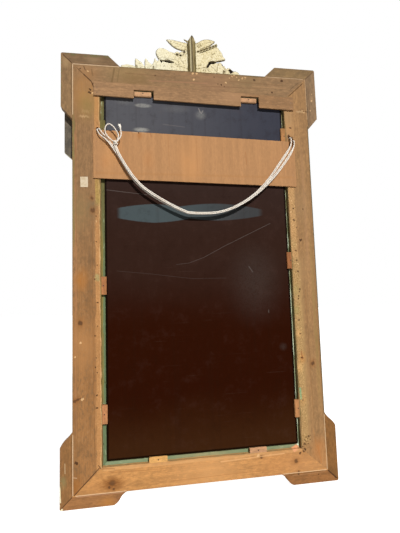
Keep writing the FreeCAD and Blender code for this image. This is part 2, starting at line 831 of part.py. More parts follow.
def footed_form(shares, start, depth):
    """A smooth outline that stands on a straight foot along the frame's top edge."""
    curve = Part.BSplineCurve()
    curve.interpolate([crest_point(share, start) for share in shares])
    first = crest_point((shares[0][0], 0), start)
    last = crest_point((shares[-1][0], 0), start)
    edges = [curve.toShape()]
    if shares[-1][1] > 0:
        edges.append(Part.LineSegment(crest_point(shares[-1], start), last).toShape())
    edges.append(Part.LineSegment(last, first).toShape())
    if shares[0][1] > 0:
        edges.append(Part.LineSegment(first, crest_point(shares[0], start)).toShape())
    return Part.Face(Part.Wire(Part.sortEdges(edges)[0])).extrude(Vector(0, depth, 0))


def crest():
    """The carving in one piece, and a low spray at each side that is cut to fit against it."""
    start = memberFront.value
    centreDepth = size("crestDepth").value
    centre = footed_form(centreShares, start, centreDepth)
    carving = centre
    for shares, depth in (
        (leftWingShares, size("wingDepth").value),
        (rightWingShares, size("wingDepth").value),
        (leftLeafShares, size("leafDepth").value),
        (rightLeafShares, size("leafDepth").value),
    ):
        carving = carving.fuse(crowned_form(shares, start, depth))
    carving = carving.removeSplitter()
    feature = keep(doc.addObject("Part::Feature", "crest_carving"), "crest_carving")
    feature.Shape = carving.Solids[0]
    for label, shares in (("crest_spray_left", leftSprayShares), ("crest_spray_right", rightSprayShares)):
        spray = footed_form(shares, start, size("sprayDepth").value).cut(carving)
        feature = keep(doc.addObject("Part::Feature", label), label)
        feature.Shape = max(spray.Solids, key=lambda solid: solid.Volume)


crest()

# Routes of the cord: x, distance of its middle behind (minus) the frame's back plane, z
bore = size("cordBoreDepth").value
longPairRoute = [
    (leftBore[0].value, bore, leftBore[1].value),
    (leftBore[0].value, -10, leftBore[1].value),
    (-281, -12, 1021),
    (-265, -12, 1005),
    (-246, -11.5, 980),
    (-222, -11, 946),
    (-190, -10.5, 899),
    (-158, -10.5, 865),
    (-112, -10, 834),
    (-62, -10, 808),
    (-26, -10, 793.5),
    (20, -10, 792.5),
    (66, -10, 797),
    (112, -10, 815),
    (160, -10.5, 843),
    (202, -10.5, 880),
    (235, -11, 923),
    (264, -12, 964),
    (288, -12, 995),
    (297, -12, 1016),
    (innerBore[0].value, -10, innerBore[1].value),
    (innerBore[0].value, bore, innerBore[1].value),
]
shortPairRoute = [
    (-242, -15.5, 993),
    (-227, -18.5, 965),
    (-201, -18.5, 919),
    (-168, -18, 878),
    (-125, -18, 844.5),
    (-74, -17.8, 814),
    (-32, -17.8, 793.5),
    (14, -17.8, 789.5),
    (62, -17.8, 793.5),
    (110, -17.8, 811),
    (158, -18, 838.5),
    (203, -18, 873),
    (245, -16, 918),
    (281, -13.5, 962),
    (298, -12.5, 994),
    (304, -12, 1012),
    (outerBore[0].value, -10, outerBore[1].value),
    (outerBore[0].value, bore, outerBore[1].value),
]
bowRoute = [
    (-246, -17, 998),
    (-255, -18, 1009),
    (-265, -19, 1021),
    (-269.5, -20, 1034),
    (-266.5, -21, 1046),
    (-256, -21, 1051.5),
    (-245.5, -20, 1044),
    (-236, -19, 1031),
    (-229.5, -18, 1018),
    (-232, -17, 1006),
    (-240, -16, 998),
]
looseEndRoute = [
    (-242, -20, 997),
    (-234, -23, 1007),
    (-227, -25, 1019),
    (-224.5, -25, 1030),
    (-228, -24, 1041),
]
knotMiddle = (-244, -15, 996)
arcShare = 0.45


def route_wire(name, route):
    """Straight runs joined by tangent arcs, each arc as large as its two runs allow."""
    points = [Vector(x, back.value + y, z) for x, y, z in route]
    edges = []
    radii = []
    here = points[0]
    for before, corner, after in zip(points, points[1:], points[2:]):
        arriving = (corner - before).normalize()
        leaving = (after - corner).normalize()
        half = arriving.getAngle(leaving) / 2
        room = arcShare * min((corner - before).Length, (after - corner).Length)
        radius = room / math.tan(half)
        start = corner - arriving * room
        end = corner + leaving * room
        middle = corner + (leaving - arriving).normalize() * (radius / math.cos(half) - radius)
        edges.append(Part.LineSegment(here, start).toShape())
        edges.append(Part.Arc(start, middle, end).toShape())
        radii.append(round(radius, 1))
        here = end
    edges.append(Part.LineSegment(here, points[-1]).toShape())
    wire = Part.Wire(edges)
    print(f"{name}: length {wire.Length:.0f} mm, bend radii {radii}")
    return wire


def cord_tube(label, route, diameter):
    path = route_wire(label, route)
    edge = path.Edges[0]
    way = edge.tangentAt(edge.FirstParameter)
    ring = Part.Wire(Part.makeCircle(diameter / 2, edge.valueAt(edge.FirstParameter), way))
    tube = path.makePipeShell([ring], True, False)
    section = math.pi * diameter ** 2 / 4
    print(f"{label}: volume over section times length {tube.Volume / (section * path.Length):.4f}")
    return tube


def cords():
    """Two doubled lengths of cord, the knot that ends the shorter one, its bow loop and loose end."""
    doubled, single = size("cordDiameter").value, size("strandDiameter").value
    tubes = {
        "hanging_cord_long_pair": cord_tube("hanging_cord_long_pair", longPairRoute, doubled),
        "hanging_cord_short_pair": cord_tube("hanging_cord_short_pair", shortPairRoute, doubled),
        "cord_bow_loop": cord_tube("cord_bow_loop", bowRoute, single),
        "cord_loose_end": cord_tube("cord_loose_end", looseEndRoute, single),
    }
    x, y, z = knotMiddle
    middle = Vector(x, back.value + y, z)
    away = Vector(*shortPairRoute[1]) - Vector(*shortPairRoute[0])
    knot = Part.makeSphere(size("knotDiameter").value / 2)
    stretch = size("knotLength").value / size("knotDiameter").value
    knot = knot.transformGeometry(Matrix(1, 0, 0, 0, 0, 1, 0, 0, 0, 0, stretch, 0, 0, 0, 0, 1))
    knot.Placement.Rotation = Rotation(Vector(0, 0, 1), away)
    knot.Placement.Base = middle
    for tube in tubes.values():
        knot = knot.cut(tube)
    tubes["cord_knot"] = max(knot.Solids, key=lambda solid: solid.Volume)
    for label, shape in tubes.items():
        feature = keep(doc.addObject("Part::Feature", label), label)
        feature.Shape = shape


cords()


def check_and_write():
    """Stop on a failed or invalid piece, else write each one under its own name."""
    doc.recompute()
    for item in doc.Objects:
        if "Invalid" in item.State or "Error" in item.State:
            raise RuntimeError(f"{item.Label} failed: {item.State}")
    for piece in parts:
        if piece.Shape.isNull() or not piece.Shape.isValid():
            raise RuntimeError(f"{piece.Label} has no valid shape")
    os.makedirs("parts", exist_ok=True)
    for piece in parts:
        piece.Shape.exportStep(f"parts/{piece.Label}.step")
        print(f"{piece.Label}: {len(piece.Shape.Solids)} solid, {piece.Shape.Volume / 1000:.1f} cm3")


check_and_write()
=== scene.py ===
import math
import random

import bmesh
import bpy
import numpy as np
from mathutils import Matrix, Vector


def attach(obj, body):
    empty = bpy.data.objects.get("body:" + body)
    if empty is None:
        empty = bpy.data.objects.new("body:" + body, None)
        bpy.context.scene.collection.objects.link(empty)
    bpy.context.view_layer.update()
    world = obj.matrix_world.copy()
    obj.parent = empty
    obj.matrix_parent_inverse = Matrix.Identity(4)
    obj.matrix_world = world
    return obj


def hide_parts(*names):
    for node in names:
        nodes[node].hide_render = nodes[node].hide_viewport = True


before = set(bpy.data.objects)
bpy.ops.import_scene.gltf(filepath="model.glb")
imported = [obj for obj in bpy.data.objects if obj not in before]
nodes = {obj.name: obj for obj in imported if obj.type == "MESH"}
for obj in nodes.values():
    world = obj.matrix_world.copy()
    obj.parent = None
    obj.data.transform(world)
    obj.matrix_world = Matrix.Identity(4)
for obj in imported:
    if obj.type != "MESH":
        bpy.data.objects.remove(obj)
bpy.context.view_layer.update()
print("frame loaded:", len(nodes), "nodes")

# metres, X along the width, Y from the back (minus) to the front, Z up
backPlane = -0.0205


def tint(red, green, blue, share=1.0):  # 0 to 255 as on screen, to the renderer's own scale
    parts = [min(channel * share / 255, 1) for channel in (red, green, blue)]
    return [part / 12.92 if part < 0.04045 else ((part + 0.055) / 1.055) ** 2.4 for part in parts] + [1]


class Wire:  # a node's output; sums on it add Math nodes
    def __init__(self, tree, socket):
        self.tree = tree
        self.socket = socket

    def sum(self, operation, first, second):
        return self.tree.node("ShaderNodeMath", {"operation": operation}, {0: first, 1: second})

    def __add__(self, other):
        return self.sum("ADD", self, other)

    def __sub__(self, other):
        return self.sum("SUBTRACT", self, other)

    def __rsub__(self, other):
        return self.sum("SUBTRACT", other, self)

    def __mul__(self, other):
        return self.sum("MULTIPLY", self, other)

    def __truediv__(self, other):
        return self.sum("DIVIDE", self, other)

    def __rtruediv__(self, other):
        return self.sum("DIVIDE", other, self)

    def __pow__(self, other):
        return self.sum("POWER", self, other)

    def __rpow__(self, other):
        return self.sum("POWER", other, self)

    def __abs__(self):
        return self.tree.node("ShaderNodeMath", {"operation": "ABSOLUTE"}, {0: self})

    __radd__ = __add__
    __rmul__ = __mul__


class Tree:  # the nodes of one material or of the world
    def __init__(self, owner):
        owner.use_nodes = True
        self.owner = owner
        self.nodes = owner.node_tree.nodes
        self.links = owner.node_tree.links
        self.nodes.clear()

    def node(self, kind, settings=None, sockets=None, output=0):
        made = self.nodes.new(kind)
        for name, value in (settings or {}).items():
            setattr(made, name, value)
        for key, value in (sockets or {}).items():
            if isinstance(value, Wire):
                self.links.new(value.socket, made.inputs[key])
            else:
                made.inputs[key].default_value = value
        return Wire(self, made.outputs[output])

    def place(self):
        return self.node("ShaderNodeTexCoord", output="Object")

    def parts(self, vector):
        split = self.node("ShaderNodeSeparateXYZ", None, {0: vector}).socket.node
        return [Wire(self, output) for output in split.outputs]

    def vector(self, operation, first, second, output=0):
        return self.node("ShaderNodeVectorMath", {"operation": operation}, {0: first, 1: second}, output)

    def step(self, value, low, high):  # 0 below low, 1 above high, soft between; low may be the larger
        sockets = {"Value": value, "From Min": low, "From Max": high}
        return self.node("ShaderNodeMapRange", {"interpolation_type": "SMOOTHSTEP"}, sockets)

    def noise(self, vector, scale, detail=2.0, roughness=0.5):
        sockets = {"Vector": vector, "Scale": scale, "Detail": detail, "Roughness": roughness}
        return self.node("ShaderNodeTexNoise", None, sockets)

    def mix(self, share, first, second):
        return self.node("ShaderNodeMix", {"data_type": "RGBA"}, {0: share, 6: first, 7: second}, 2)

    def between(self, share, first, second):  # two colours as on screen
        return self.mix(share, tint(*first), tint(*second))

    def layers(self, colour, *coats):  # each coat: how much of it, and its colour as on screen
        for share, shade in coats:
            colour = self.mix(share, colour, tint(*shade))
        return colour

    def larger(self, first, second):  # either may be missing
        if first is None or second is None:
            return second if first is None else first
        return self.node("ShaderNodeMath", {"operation": "MAXIMUM"}, {0: first, 1: second})

    def attribute(self, name, output="Fac"):
        return self.node("ShaderNodeAttribute", {"attribute_name": name}, None, output)

    def bump(self, height, strength, distance):
        sockets = {"Height": height, "Strength": strength, "Distance": distance}
        return self.node("ShaderNodeBump", None, sockets)

    def end(self, shader, kind="ShaderNodeOutputMaterial"):
        output = self.nodes.new(kind)
        self.links.new(shader.socket, output.inputs["Surface"])
        return self.owner

    def principled(self, sockets):
        return self.end(self.node("ShaderNodeBsdfPrincipled", None, sockets))


def dress(name, finish):  # a frame node keeps its mesh and gets a finish
    for slot in nodes[name].material_slots:
        slot.material = finish


def plainObject(name, vertices, edges=(), faces=()):
    mesh = bpy.data.meshes.new(name)
    mesh.from_pydata([tuple(vertex) for vertex in vertices], list(edges), list(faces))
    mesh.update()
    made = bpy.data.objects.new(name, mesh)
    bpy.context.collection.objects.link(made)
    return made


# camera and light
view = {
    "place": (-0.1978, -1.1667, 0.5255),
    "turn": (95.417, 1.741, -9.569),
    "lens": 27.02,
    "nearest": 0.02,
    "keyWay": (-0.27, 1.0, -0.6),
    "keyStrength": 3.65,
    "keySoftness": 2.2,
    "fillWay": (0.35, -1.0, -0.5),
    "fillStrength": 1.5,
    "fillSoftness": 20,
    "roomLight": 0.09,
    "floorGlow": 0.87,
    "floorReach": 30,
    "floorTone": (196, 195, 193),
}


def makeCamera():
    lens = bpy.data.cameras.new("camera")
    lens.lens = view["lens"]
    lens.clip_start = view["nearest"]
    camera = bpy.data.objects.new("camera", lens)
    camera.location = view["place"]
    camera.rotation_euler = [math.radians(turn) for turn in view["turn"]]
    bpy.context.collection.objects.link(camera)
    bpy.context.scene.camera = camera


def makeLamp(name, way, strength, softness):
    lamp = bpy.data.lights.new(name, "SUN")
    lamp.energy = strength
    lamp.angle = math.radians(softness)
    made = bpy.data.objects.new(name, lamp)
    made.rotation_euler = Vector(way).to_track_quat("-Z", "Y").to_euler()
    bpy.context.collection.objects.link(made)


def whiteRays(tree):  # rays that show the white background
    seen = [tree.node("ShaderNodeLightPath", output=f"Is {kind} Ray") for kind in ("Camera", "Glossy", "Transmission")]
    return tree.larger(tree.larger(seen[0], seen[1]), seen[2])


def makeRoom():
    room = bpy.data.worlds.new("room")
    bpy.context.scene.world = room
    tree = Tree(room)
    light, white = [
        tree.node("ShaderNodeBackground", None, {"Color": (1, 1, 1, 1), "Strength": strength})
        for strength in (view["roomLight"], 1)
    ]
    tree.end(tree.node("ShaderNodeMixShader", None, {0: whiteRays(tree), 1: light, 2: white}), "ShaderNodeOutputWorld")
    reach = view["floorReach"]
    corners = [(-reach, -reach, 0), (reach, -reach, 0), (reach, reach, 0), (-reach, reach, 0)]
    floor = plainObject("floor", corners, (), [(0, 1, 2, 3)])
    tree = Tree(bpy.data.materials.new("floor"))
    pale = tree.node("ShaderNodeBsdfDiffuse", None, {"Color": tint(*view["floorTone"])})
    strength = whiteRays(tree) * view["floorGlow"]
    glow = tree.node("ShaderNodeEmission", None, {"Color": (1, 1, 1, 1), "Strength": strength})
    floor.data.materials.append(tree.end(tree.node("ShaderNodeAddShader", None, {0: pale, 1: glow})))


bpy.context.scene.view_settings.view_transform = "Standard"
makeCamera()
makeLamp("key", view["keyWay"], view["keyStrength"], view["keySoftness"])
makeLamp("fill", view["fillWay"], view["fillStrength"], view["fillSoftness"])
makeRoom()
print("camera, light and floor done")

# the cord: one white laid line, doubled from bore to bore, tied near the left bore
cord = {
    "pairDiameter": 0.007,
    "lineDiameter": 0.0048,
    "strandRadius": 0.0018,
    "strandGap": 0.00195,
    "leftSpread": 0.0043,
    "spreadMiddle": 0.038,
    "spreadReach": 0.019,
    "turn": 1.2,
    "turnStart": 0.085,
    "turnReach": 0.05,
    "layLength": 0.0135,
    "plyDepth": 0.2,
    "ringStep": 0.0011,
    "sides": 18,
    "longPairLength": 0.844,
    "shortPairLength": 0.763,
    "bowLength": 0.132,
    "looseLength": 0.05,
    "knotRadius": 0.0064,
    "knotTurns": 3,
    "knotStart": 0.6,
    "knotRise": 0.0125,
    "knotLean": 0.0012,
    "knotPoints": 60,
    "knotStep": 0.0008,
    "tailPoints": 24,
    "tailRun": 0.014,
    "tailAcross": 0.011,
    "tailLift": 0.0035,
    "frayCount": 130,
    "frayLength": 0.0105,
    "fraySpread": 0.0016,
    "frayRoot": 0.004,
    "fraySeed": 7,
    "fibreRadius": 0.0006,
    "fibreSides": 5,
    "fibreStep": 0.0012,
    "shades": ((240, 227, 206), (255, 252, 244)),
    # brown painted shade in the grooves between the plies
    "hollowShade": (116, 82, 58),
    "soil": (196, 166, 138),
}
# points in millimetres: x, distance from the frame's back plane, z
longPairRoute = [
    (-289, 12, 1040.5), (-289, -10, 1040.5), (-282, -13, 1023), (-263, -13.5, 1006), (-244, -13, 979),
    (-221, -12.5, 944), (-192, -12, 891), (-160, -12, 859), (-114, -12, 828), (-66, -12, 804.5),
    (-37, -12, 793), (-30, -12, 791), (20, -12, 790.5), (66, -12, 795.5), (112, -12, 812), (160, -12, 841),
    (203, -12, 880), (235, -12, 921), (264, -12.5, 962), (286, -12.5, 992), (297, -12, 1014),
    (296, -10, 1037.5), (296, 12, 1037.5),
]
shortPairRoute = [
    (-240, -16.5, 989), (-233, -18, 966), (-213, -18.5, 930), (-192, -18, 897), (-163, -17.5, 864),
    (-116, -17.2, 833), (-69, -17.2, 807), (-39, -17.2, 794), (-32, -17.2, 791.5), (16, -17.2, 789.5),
    (62, -17.2, 793.5), (110, -17.2, 810), (158, -17.2, 838), (203, -17.2, 874), (242, -17, 915), (275, -14.5, 957),
    (294, -13, 985), (306, -12.5, 1008), (306, -10, 1028.5), (306, 12, 1028.5),
]
bowRoute = [
    (-241, -18, 995), (-250, -19, 1001), (-259, -20, 1008), (-267.5, -20, 1022), (-267.5, -21, 1038),
    (-257.5, -21, 1049.5), (-245, -20, 1042), (-236, -19, 1029), (-229, -19, 1017), (-231, -18, 1005),
    (-236, -17, 995),
]
looseRoute = [
    (-237, -21, 992), (-228, -23, 1001), (-222, -25, 1013), (-222.5, -25, 1024), (-223.5, -24.5, 1031),
    (-225, -24, 1037),
]
knotMiddle = (-240, -16, 993.5)


def placed(point):  # millimetres behind the back plane, to the frame's metres
    return Vector((point[0] / 1000, backPlane + point[1] / 1000, point[2] / 1000))


def smoothLine(name, route):  # points read from the route's own spline
    curve = bpy.data.curves.new(name, "CURVE")
    curve.dimensions = "3D"
    spline = curve.splines.new("NURBS")
    spline.points.add(len(route) - 1)
    for point, corner in zip(spline.points, route):
        point.co = (*placed(corner), 1)
    spline.order_u = 3
    spline.use_endpoint_u = True
    spline.resolution_u = 12
    carrier = bpy.data.objects.new(name, curve)
    bpy.context.collection.objects.link(carrier)
    mesh = bpy.data.meshes.new_from_object(carrier)
    line = [vertex.co.copy() for vertex in mesh.vertices]
    bpy.data.objects.remove(carrier)
    return line


def sideways(line, reach=6):  # at each point, the direction across the cord in the plane of the back
    sides = []
    for index in range(len(line)):
        run = line[min(index + reach, len(line) - 1)] - line[max(index - reach, 0)]
        run.y = 0
        sides.append(Vector((run.z, 0, -run.x)).normalized() if run.length > 1e-4 else sides[-1])
    return sides


def strandOf(line, sides, way, spreadAtStart):  # one strand; the pair turns edgewise at its right end
    moved, walked = [], 0.0
    whole = sum((after - before).length for before, after in zip(line, line[1:]))
    for index, point in enumerate(line):
        walked += (point - line[index - 1]).length if index else 0
        near = math.exp(-((walked - cord["spreadMiddle"]) / cord["spreadReach"]) ** 2) if spreadAtStart else 0
        gap = cord["strandGap"] + (cord["leftSpread"] - cord["strandGap"]) * near
        share = min(max((cord["turnStart"] - (whole - walked)) / cord["turnReach"], 0), 1)
        turn = cord["turn"] * share * share * (3 - 2 * share)
        outward = sides[index] * math.cos(turn) + Vector((0, 1, 0)) * math.sin(turn)
        moved.append(point + outward * way * gap)
    return moved


def newTree(name, inputs):  # a Geometry Nodes tree with named inputs
    tree = bpy.data.node_groups.new(name, "GeometryNodeTree")
    tree.interface.new_socket(name="Geometry", in_out="INPUT", socket_type="NodeSocketGeometry")
    for label, kind in inputs.items():
        tree.interface.new_socket(name=label, in_out="INPUT", socket_type="NodeSocket" + kind)
    tree.interface.new_socket(name="Geometry", in_out="OUTPUT", socket_type="NodeSocketGeometry")
    return tree


def addNode(tree, kind, settings=None, sockets=None):
    made = tree.nodes.new(kind)
    for name, value in (settings or {}).items():
        setattr(made, name, value)
    for key, value in (sockets or {}).items():
        if isinstance(value, bpy.types.NodeSocket):
            tree.links.new(value, made.inputs[key])
        else:
            made.inputs[key].default_value = value
    return made


def addMath(tree, operation, *values):
    return addNode(tree, "ShaderNodeMath", {"operation": operation}, dict(enumerate(values))).outputs[0]


def addStored(tree, geometry, name, value, kind="FLOAT"):
    return addNode(tree, "GeometryNodeStoreNamedAttribute", {"data_type": kind, "domain": "POINT"},
        {"Geometry": geometry, "Name": name, "Value": value}).outputs[0]


def addEnd(tree, geometry, material):  # smooth, real and dressed
    geometry = addNode(tree, "GeometryNodeSetShadeSmooth", None, {"Geometry": geometry}).outputs[0]
    geometry = addNode(tree, "GeometryNodeRealizeInstances", None, {"Geometry": geometry}).outputs[0]
    last = addNode(tree, "GeometryNodeSetMaterial", None, {"Geometry": geometry, "Material": material})
    addNode(tree, "NodeGroupOutput", None, {0: last.outputs[0]})
    return tree


def strandTree():
    tree = newTree("laidStrand", {
        "Radius": "Float", "Ply Depth": "Float", "Lay Length": "Float", "Step": "Float",
        "Sides": "Int", "Material": "Material",
    })
    given = tree.nodes.new("NodeGroupInput").outputs
    line = addNode(tree, "GeometryNodeMeshToCurve", None, {"Mesh": given["Geometry"]}).outputs[0]
    step = {"Curve": line, "Length": given["Step"]}
    line = addNode(tree, "GeometryNodeResampleCurve", {"mode": "LENGTH"}, step).outputs[0]
    along = addNode(tree, "GeometryNodeSplineParameter").outputs["Length"]
    tilt = addMath(tree, "MULTIPLY", addMath(tree, "DIVIDE", along, given["Lay Length"]), math.tau)
    line = addNode(tree, "GeometryNodeSetCurveTilt", None, {"Curve": line, "Tilt": tilt}).outputs[0]
    line = addStored(tree, line, "cordAlong", along)
    size = {"Resolution": given["Sides"], "Radius": 1.0}
    ring = addNode(tree, "GeometryNodeCurvePrimitiveCircle", {"mode": "RADIUS"}, size)
    spot = addNode(tree, "GeometryNodeInputPosition").outputs[0]
    split = addNode(tree, "ShaderNodeSeparateXYZ", None, {0: spot}).outputs
    angle = addMath(tree, "ARCTAN2", split[1], split[0])  # three plies round the strand
    lobe = addMath(tree, "ABSOLUTE", addMath(tree, "COSINE", addMath(tree, "MULTIPLY", angle, 1.5)))
    dip = addMath(tree, "MULTIPLY", addMath(tree, "SUBTRACT", 1.0, lobe), given["Ply Depth"])
    reach = addMath(tree, "MULTIPLY", addMath(tree, "SUBTRACT", 1.0, dip), given["Radius"])
    ring = addStored(tree, ring.outputs[0], "cordSection", spot, "FLOAT_VECTOR")
    ring = addStored(tree, ring, "cordHollow", dip)
    scaled = addNode(tree, "ShaderNodeVectorMath", {"operation": "SCALE"}, {0: spot, "Scale": reach}).outputs[0]
    ring = addNode(tree, "GeometryNodeSetPosition", None, {"Geometry": ring, "Position": scaled}).outputs[0]
    tube = addNode(tree, "GeometryNodeCurveToMesh", None, {"Curve": line, "Profile Curve": ring, "Fill Caps": True})
    return addEnd(tree, tube.outputs[0], given["Material"])


def grown(made, tree, values):  # the tree's result as a plain mesh on the same object
    modifier = made.modifiers.new(tree.name, "NODES")
    modifier.node_group = tree
    for item in tree.interface.items_tree:
        if item.in_out == "INPUT" and item.name in values:
            modifier[item.identifier] = values[item.name]
    made.update_tag()
    mesh = bpy.data.meshes.new_from_object(made.evaluated_get(bpy.context.evaluated_depsgraph_get()))
    made.modifiers.clear()
    made.data = mesh
    return made


def chains(name, lines):  # several open lines as edges of one object
    vertices, edges = [], []
    for line in lines:
        edges += [(len(vertices) + index, len(vertices) + index + 1) for index in range(len(line) - 1)]
        vertices += list(line)
    return plainObject(name, vertices, edges)


def cordFinish():
    tree = Tree(bpy.data.materials.new("white_cord"))
    around, upward, _ = tree.parts(tree.attribute("cordSection", "Vector"))
    hollow = tree.attribute("cordHollow")
    straight = tree.node("ShaderNodeCombineXYZ", None, {0: around, 1: upward, 2: tree.attribute("cordAlong") * 60})
    fibres = tree.noise(straight, 7, 3, 0.6)
    soil = tree.noise(tree.place(), 34, 3, 0.6)
    # the grooves between the plies get a brown painted shade
    colour = tree.layers(tree.between(tree.step(fibres, 0.3, 0.7), *cord["shades"]),
        (tree.step(hollow, cord["plyDepth"] * 0.35, cord["plyDepth"]) * 0.9, cord["hollowShade"]),
        (tree.step(soil, 0.54, 0.75) * 0.3, cord["soil"]))
    return tree.principled({
        "Base Color": colour, "Roughness": 0.85, "Normal": tree.bump(fibres - hollow * 2.5, 0.4, 0.0004),
        "Specular IOR Level": 0.2, "Sheen Weight": 0.25, "Sheen Roughness": 0.5,
    })


def crossWays(way):  # two directions square to a run
    side = Vector((way.z, 0, -way.x)).normalized()
    return side, way.cross(side)


def knotLines():  # turns wound round the pair's first run, and one tail laid over them
    way = (placed(shortPairRoute[0]) - placed(shortPairRoute[1])).normalized()
    side, out = crossWays(way)
    middle = placed(knotMiddle)
    radius = cord["knotRadius"] - cord["strandRadius"]
    wound, over = [], []
    for index in range(cord["knotPoints"]):
        share = index / (cord["knotPoints"] - 1)
        angle = share * math.tau * cord["knotTurns"] + cord["knotStart"]
        rise = (share - 0.5) * cord["knotRise"] + cord["knotLean"] * math.sin(angle)
        wound.append(middle + way * rise + side * math.cos(angle) * radius + out * math.sin(angle) * radius)
    for index in range(cord["tailPoints"]):
        share = index / (cord["tailPoints"] - 1)
        lift = Vector((0, cord["tailLift"] * (1 + math.sin(share * math.pi)), 0))
        over.append(middle + way * (share - 0.5) * cord["tailRun"] + side * (0.5 - share) * cord["tailAcross"] - lift)
    return [wound, over]


def frayLines(line):  # the cut end opens into single fibres
    chance = random.Random(cord["fraySeed"])
    way = (line[-1] - line[-6]).normalized()
    side, out = crossWays(way)
    root = line[-1] - way * cord["frayRoot"]
    fibres = []
    for _ in range(cord["frayCount"]):
        angle = chance.random() * math.tau
        spread = math.sqrt(chance.random())
        outward = side * math.cos(angle) + out * math.sin(angle)
        length = cord["frayLength"] * chance.uniform(0.55, 1) + cord["frayRoot"]
        bend = chance.uniform(-0.3, 0.3) * cord["frayRoot"]
        fibres.append([
            root + outward * spread * (cord["strandRadius"] * 0.8 + cord["fraySpread"] * math.sin(share * 2.4))
            + way * length * share + side * bend * share ** 2
            for share in (0, 0.2, 0.4, 0.6, 0.8, 1)
        ])
    return fibres


def makeCord():
    tree = strandTree()
    values = {
        "Radius": cord["strandRadius"], "Ply Depth": cord["plyDepth"], "Lay Length": cord["layLength"],
        "Step": cord["ringStep"], "Sides": cord["sides"], "Material": cordFinish(),
    }
    fine = {"Radius": cord["fibreRadius"], "Ply Depth": 0.0, "Sides": cord["fibreSides"], "Step": cord["fibreStep"]}
    paths, pieces = {}, {}
    for name, route in (
        ("long_pair", longPairRoute), ("short_pair", shortPairRoute), ("bow_loop", bowRoute), ("loose_end", looseRoute),
    ):
        path = smoothLine(name + "_route", route)
        strands = [path]
        if "pair" in name:
            sides = sideways(path)
            strands = [strandOf(path, sides, way, name == "long_pair") for way in (-1, 1)]
        paths[name] = path
        pieces[name] = grown(chains(name + "_strands", strands), tree, values)
    knot = grown(chains("knot_turns", knotLines()), tree, {**values, "Step": cord["knotStep"]})
    fray = grown(chains("frayed_tip", frayLines(paths["loose_end"])), tree, {**values, **fine})
    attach(fray, "root")
    for piece, node in (
        (pieces["long_pair"], "hanging_cord_long_pair"), (pieces["short_pair"], "hanging_cord_short_pair"),
        (pieces["bow_loop"], "cord_bow_loop"), (pieces["loose_end"], "cord_loose_end"), (knot, "cord_knot"),
    ):
        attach(piece, "root")
        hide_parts(node)
    placed(bowRoute[0])
    placed(looseRoute[0])


makeCord()
print("cord done")


# pine: growth rings, streaks and fibres along the grain, with the marks that each board carries
pine = {
    "paleShare": 1.05,
    "deepShare": 0.93,
    "streakSize": 60,
    "ringPitch": 0.0046,
    "ringStrength": 0.34,
    "wander": 5.0,
    "lean": 0.006,
    "lateTone": (0.8, 0.68, 0.56),
    "fibreStrength": 0.4,
    "mottleStrength": 0.74,
    "grimeStrength": 0.4,
    "roughness": 0.8,
    "ragged": 0.011,
    "ledgeGreen": (102, 118, 84),
    "ledgeOlive": (104, 99, 60),
    "ledgeDeep": (58, 66, 40),
    "ledgePale": (156, 168, 134),
    "ledgeCream": ((206, 190, 146), (228, 214, 174)),
    "knotTones": ((140, 90, 46), (82, 54, 32), (104, 72, 46)),
    "speckTones": ((126, 96, 48), (224, 182, 122)),
}
crackColour = (66, 40, 22)
glueColour = (222, 192, 156)
rawColour = (226, 184, 132)


def spotMask(tree, flat, x, z, radius, soft=0.5, stretch=(1, 1, 1)):
    moved = tree.vector("MULTIPLY", tree.vector("SUBTRACT", flat, (x / 1000, 0, z / 1000)), stretch)
    far = tree.node("ShaderNodeVectorMath", {"operation": "LENGTH"}, {0: moved}, 1)
    return tree.step(far, radius / 1000, radius / 1000 * (1 - soft))


def bandMask(tree, x, z, low, high, bottom, top, soft):  # soft: of the sides and of the two ends
    masks = []
    for spot, start, end, edge in ((x, low, high, soft[0]), (z, bottom, top, soft[1])):
        rise = tree.step(spot, (start - edge) / 1000, (start + edge) / 1000)
        masks.append(rise * tree.step(spot, (end + edge) / 1000, (end - edge) / 1000))
    return masks[0] * masks[1]


def seamMask(tree, flat, start, end, width):  # a thin line between two points
    run = Vector((end[0] - start[0], 0, end[1] - start[1])) / 1000
    way, across = run.normalized(), Vector((run.z, 0, -run.x)).normalized()
    moved = tree.vector("SUBTRACT", flat, (start[0] / 1000, 0, start[1] / 1000))
    off = abs(tree.vector("DOT_PRODUCT", moved, tuple(across), 1))
    along = tree.vector("DOT_PRODUCT", moved, tuple(way), 1)
    inside = tree.step(along, -0.001, 0.001) * tree.step(along, run.length + 0.001, run.length - 0.001)
    return tree.step(off, width / 1000, width / 1000 * 0.3) * inside


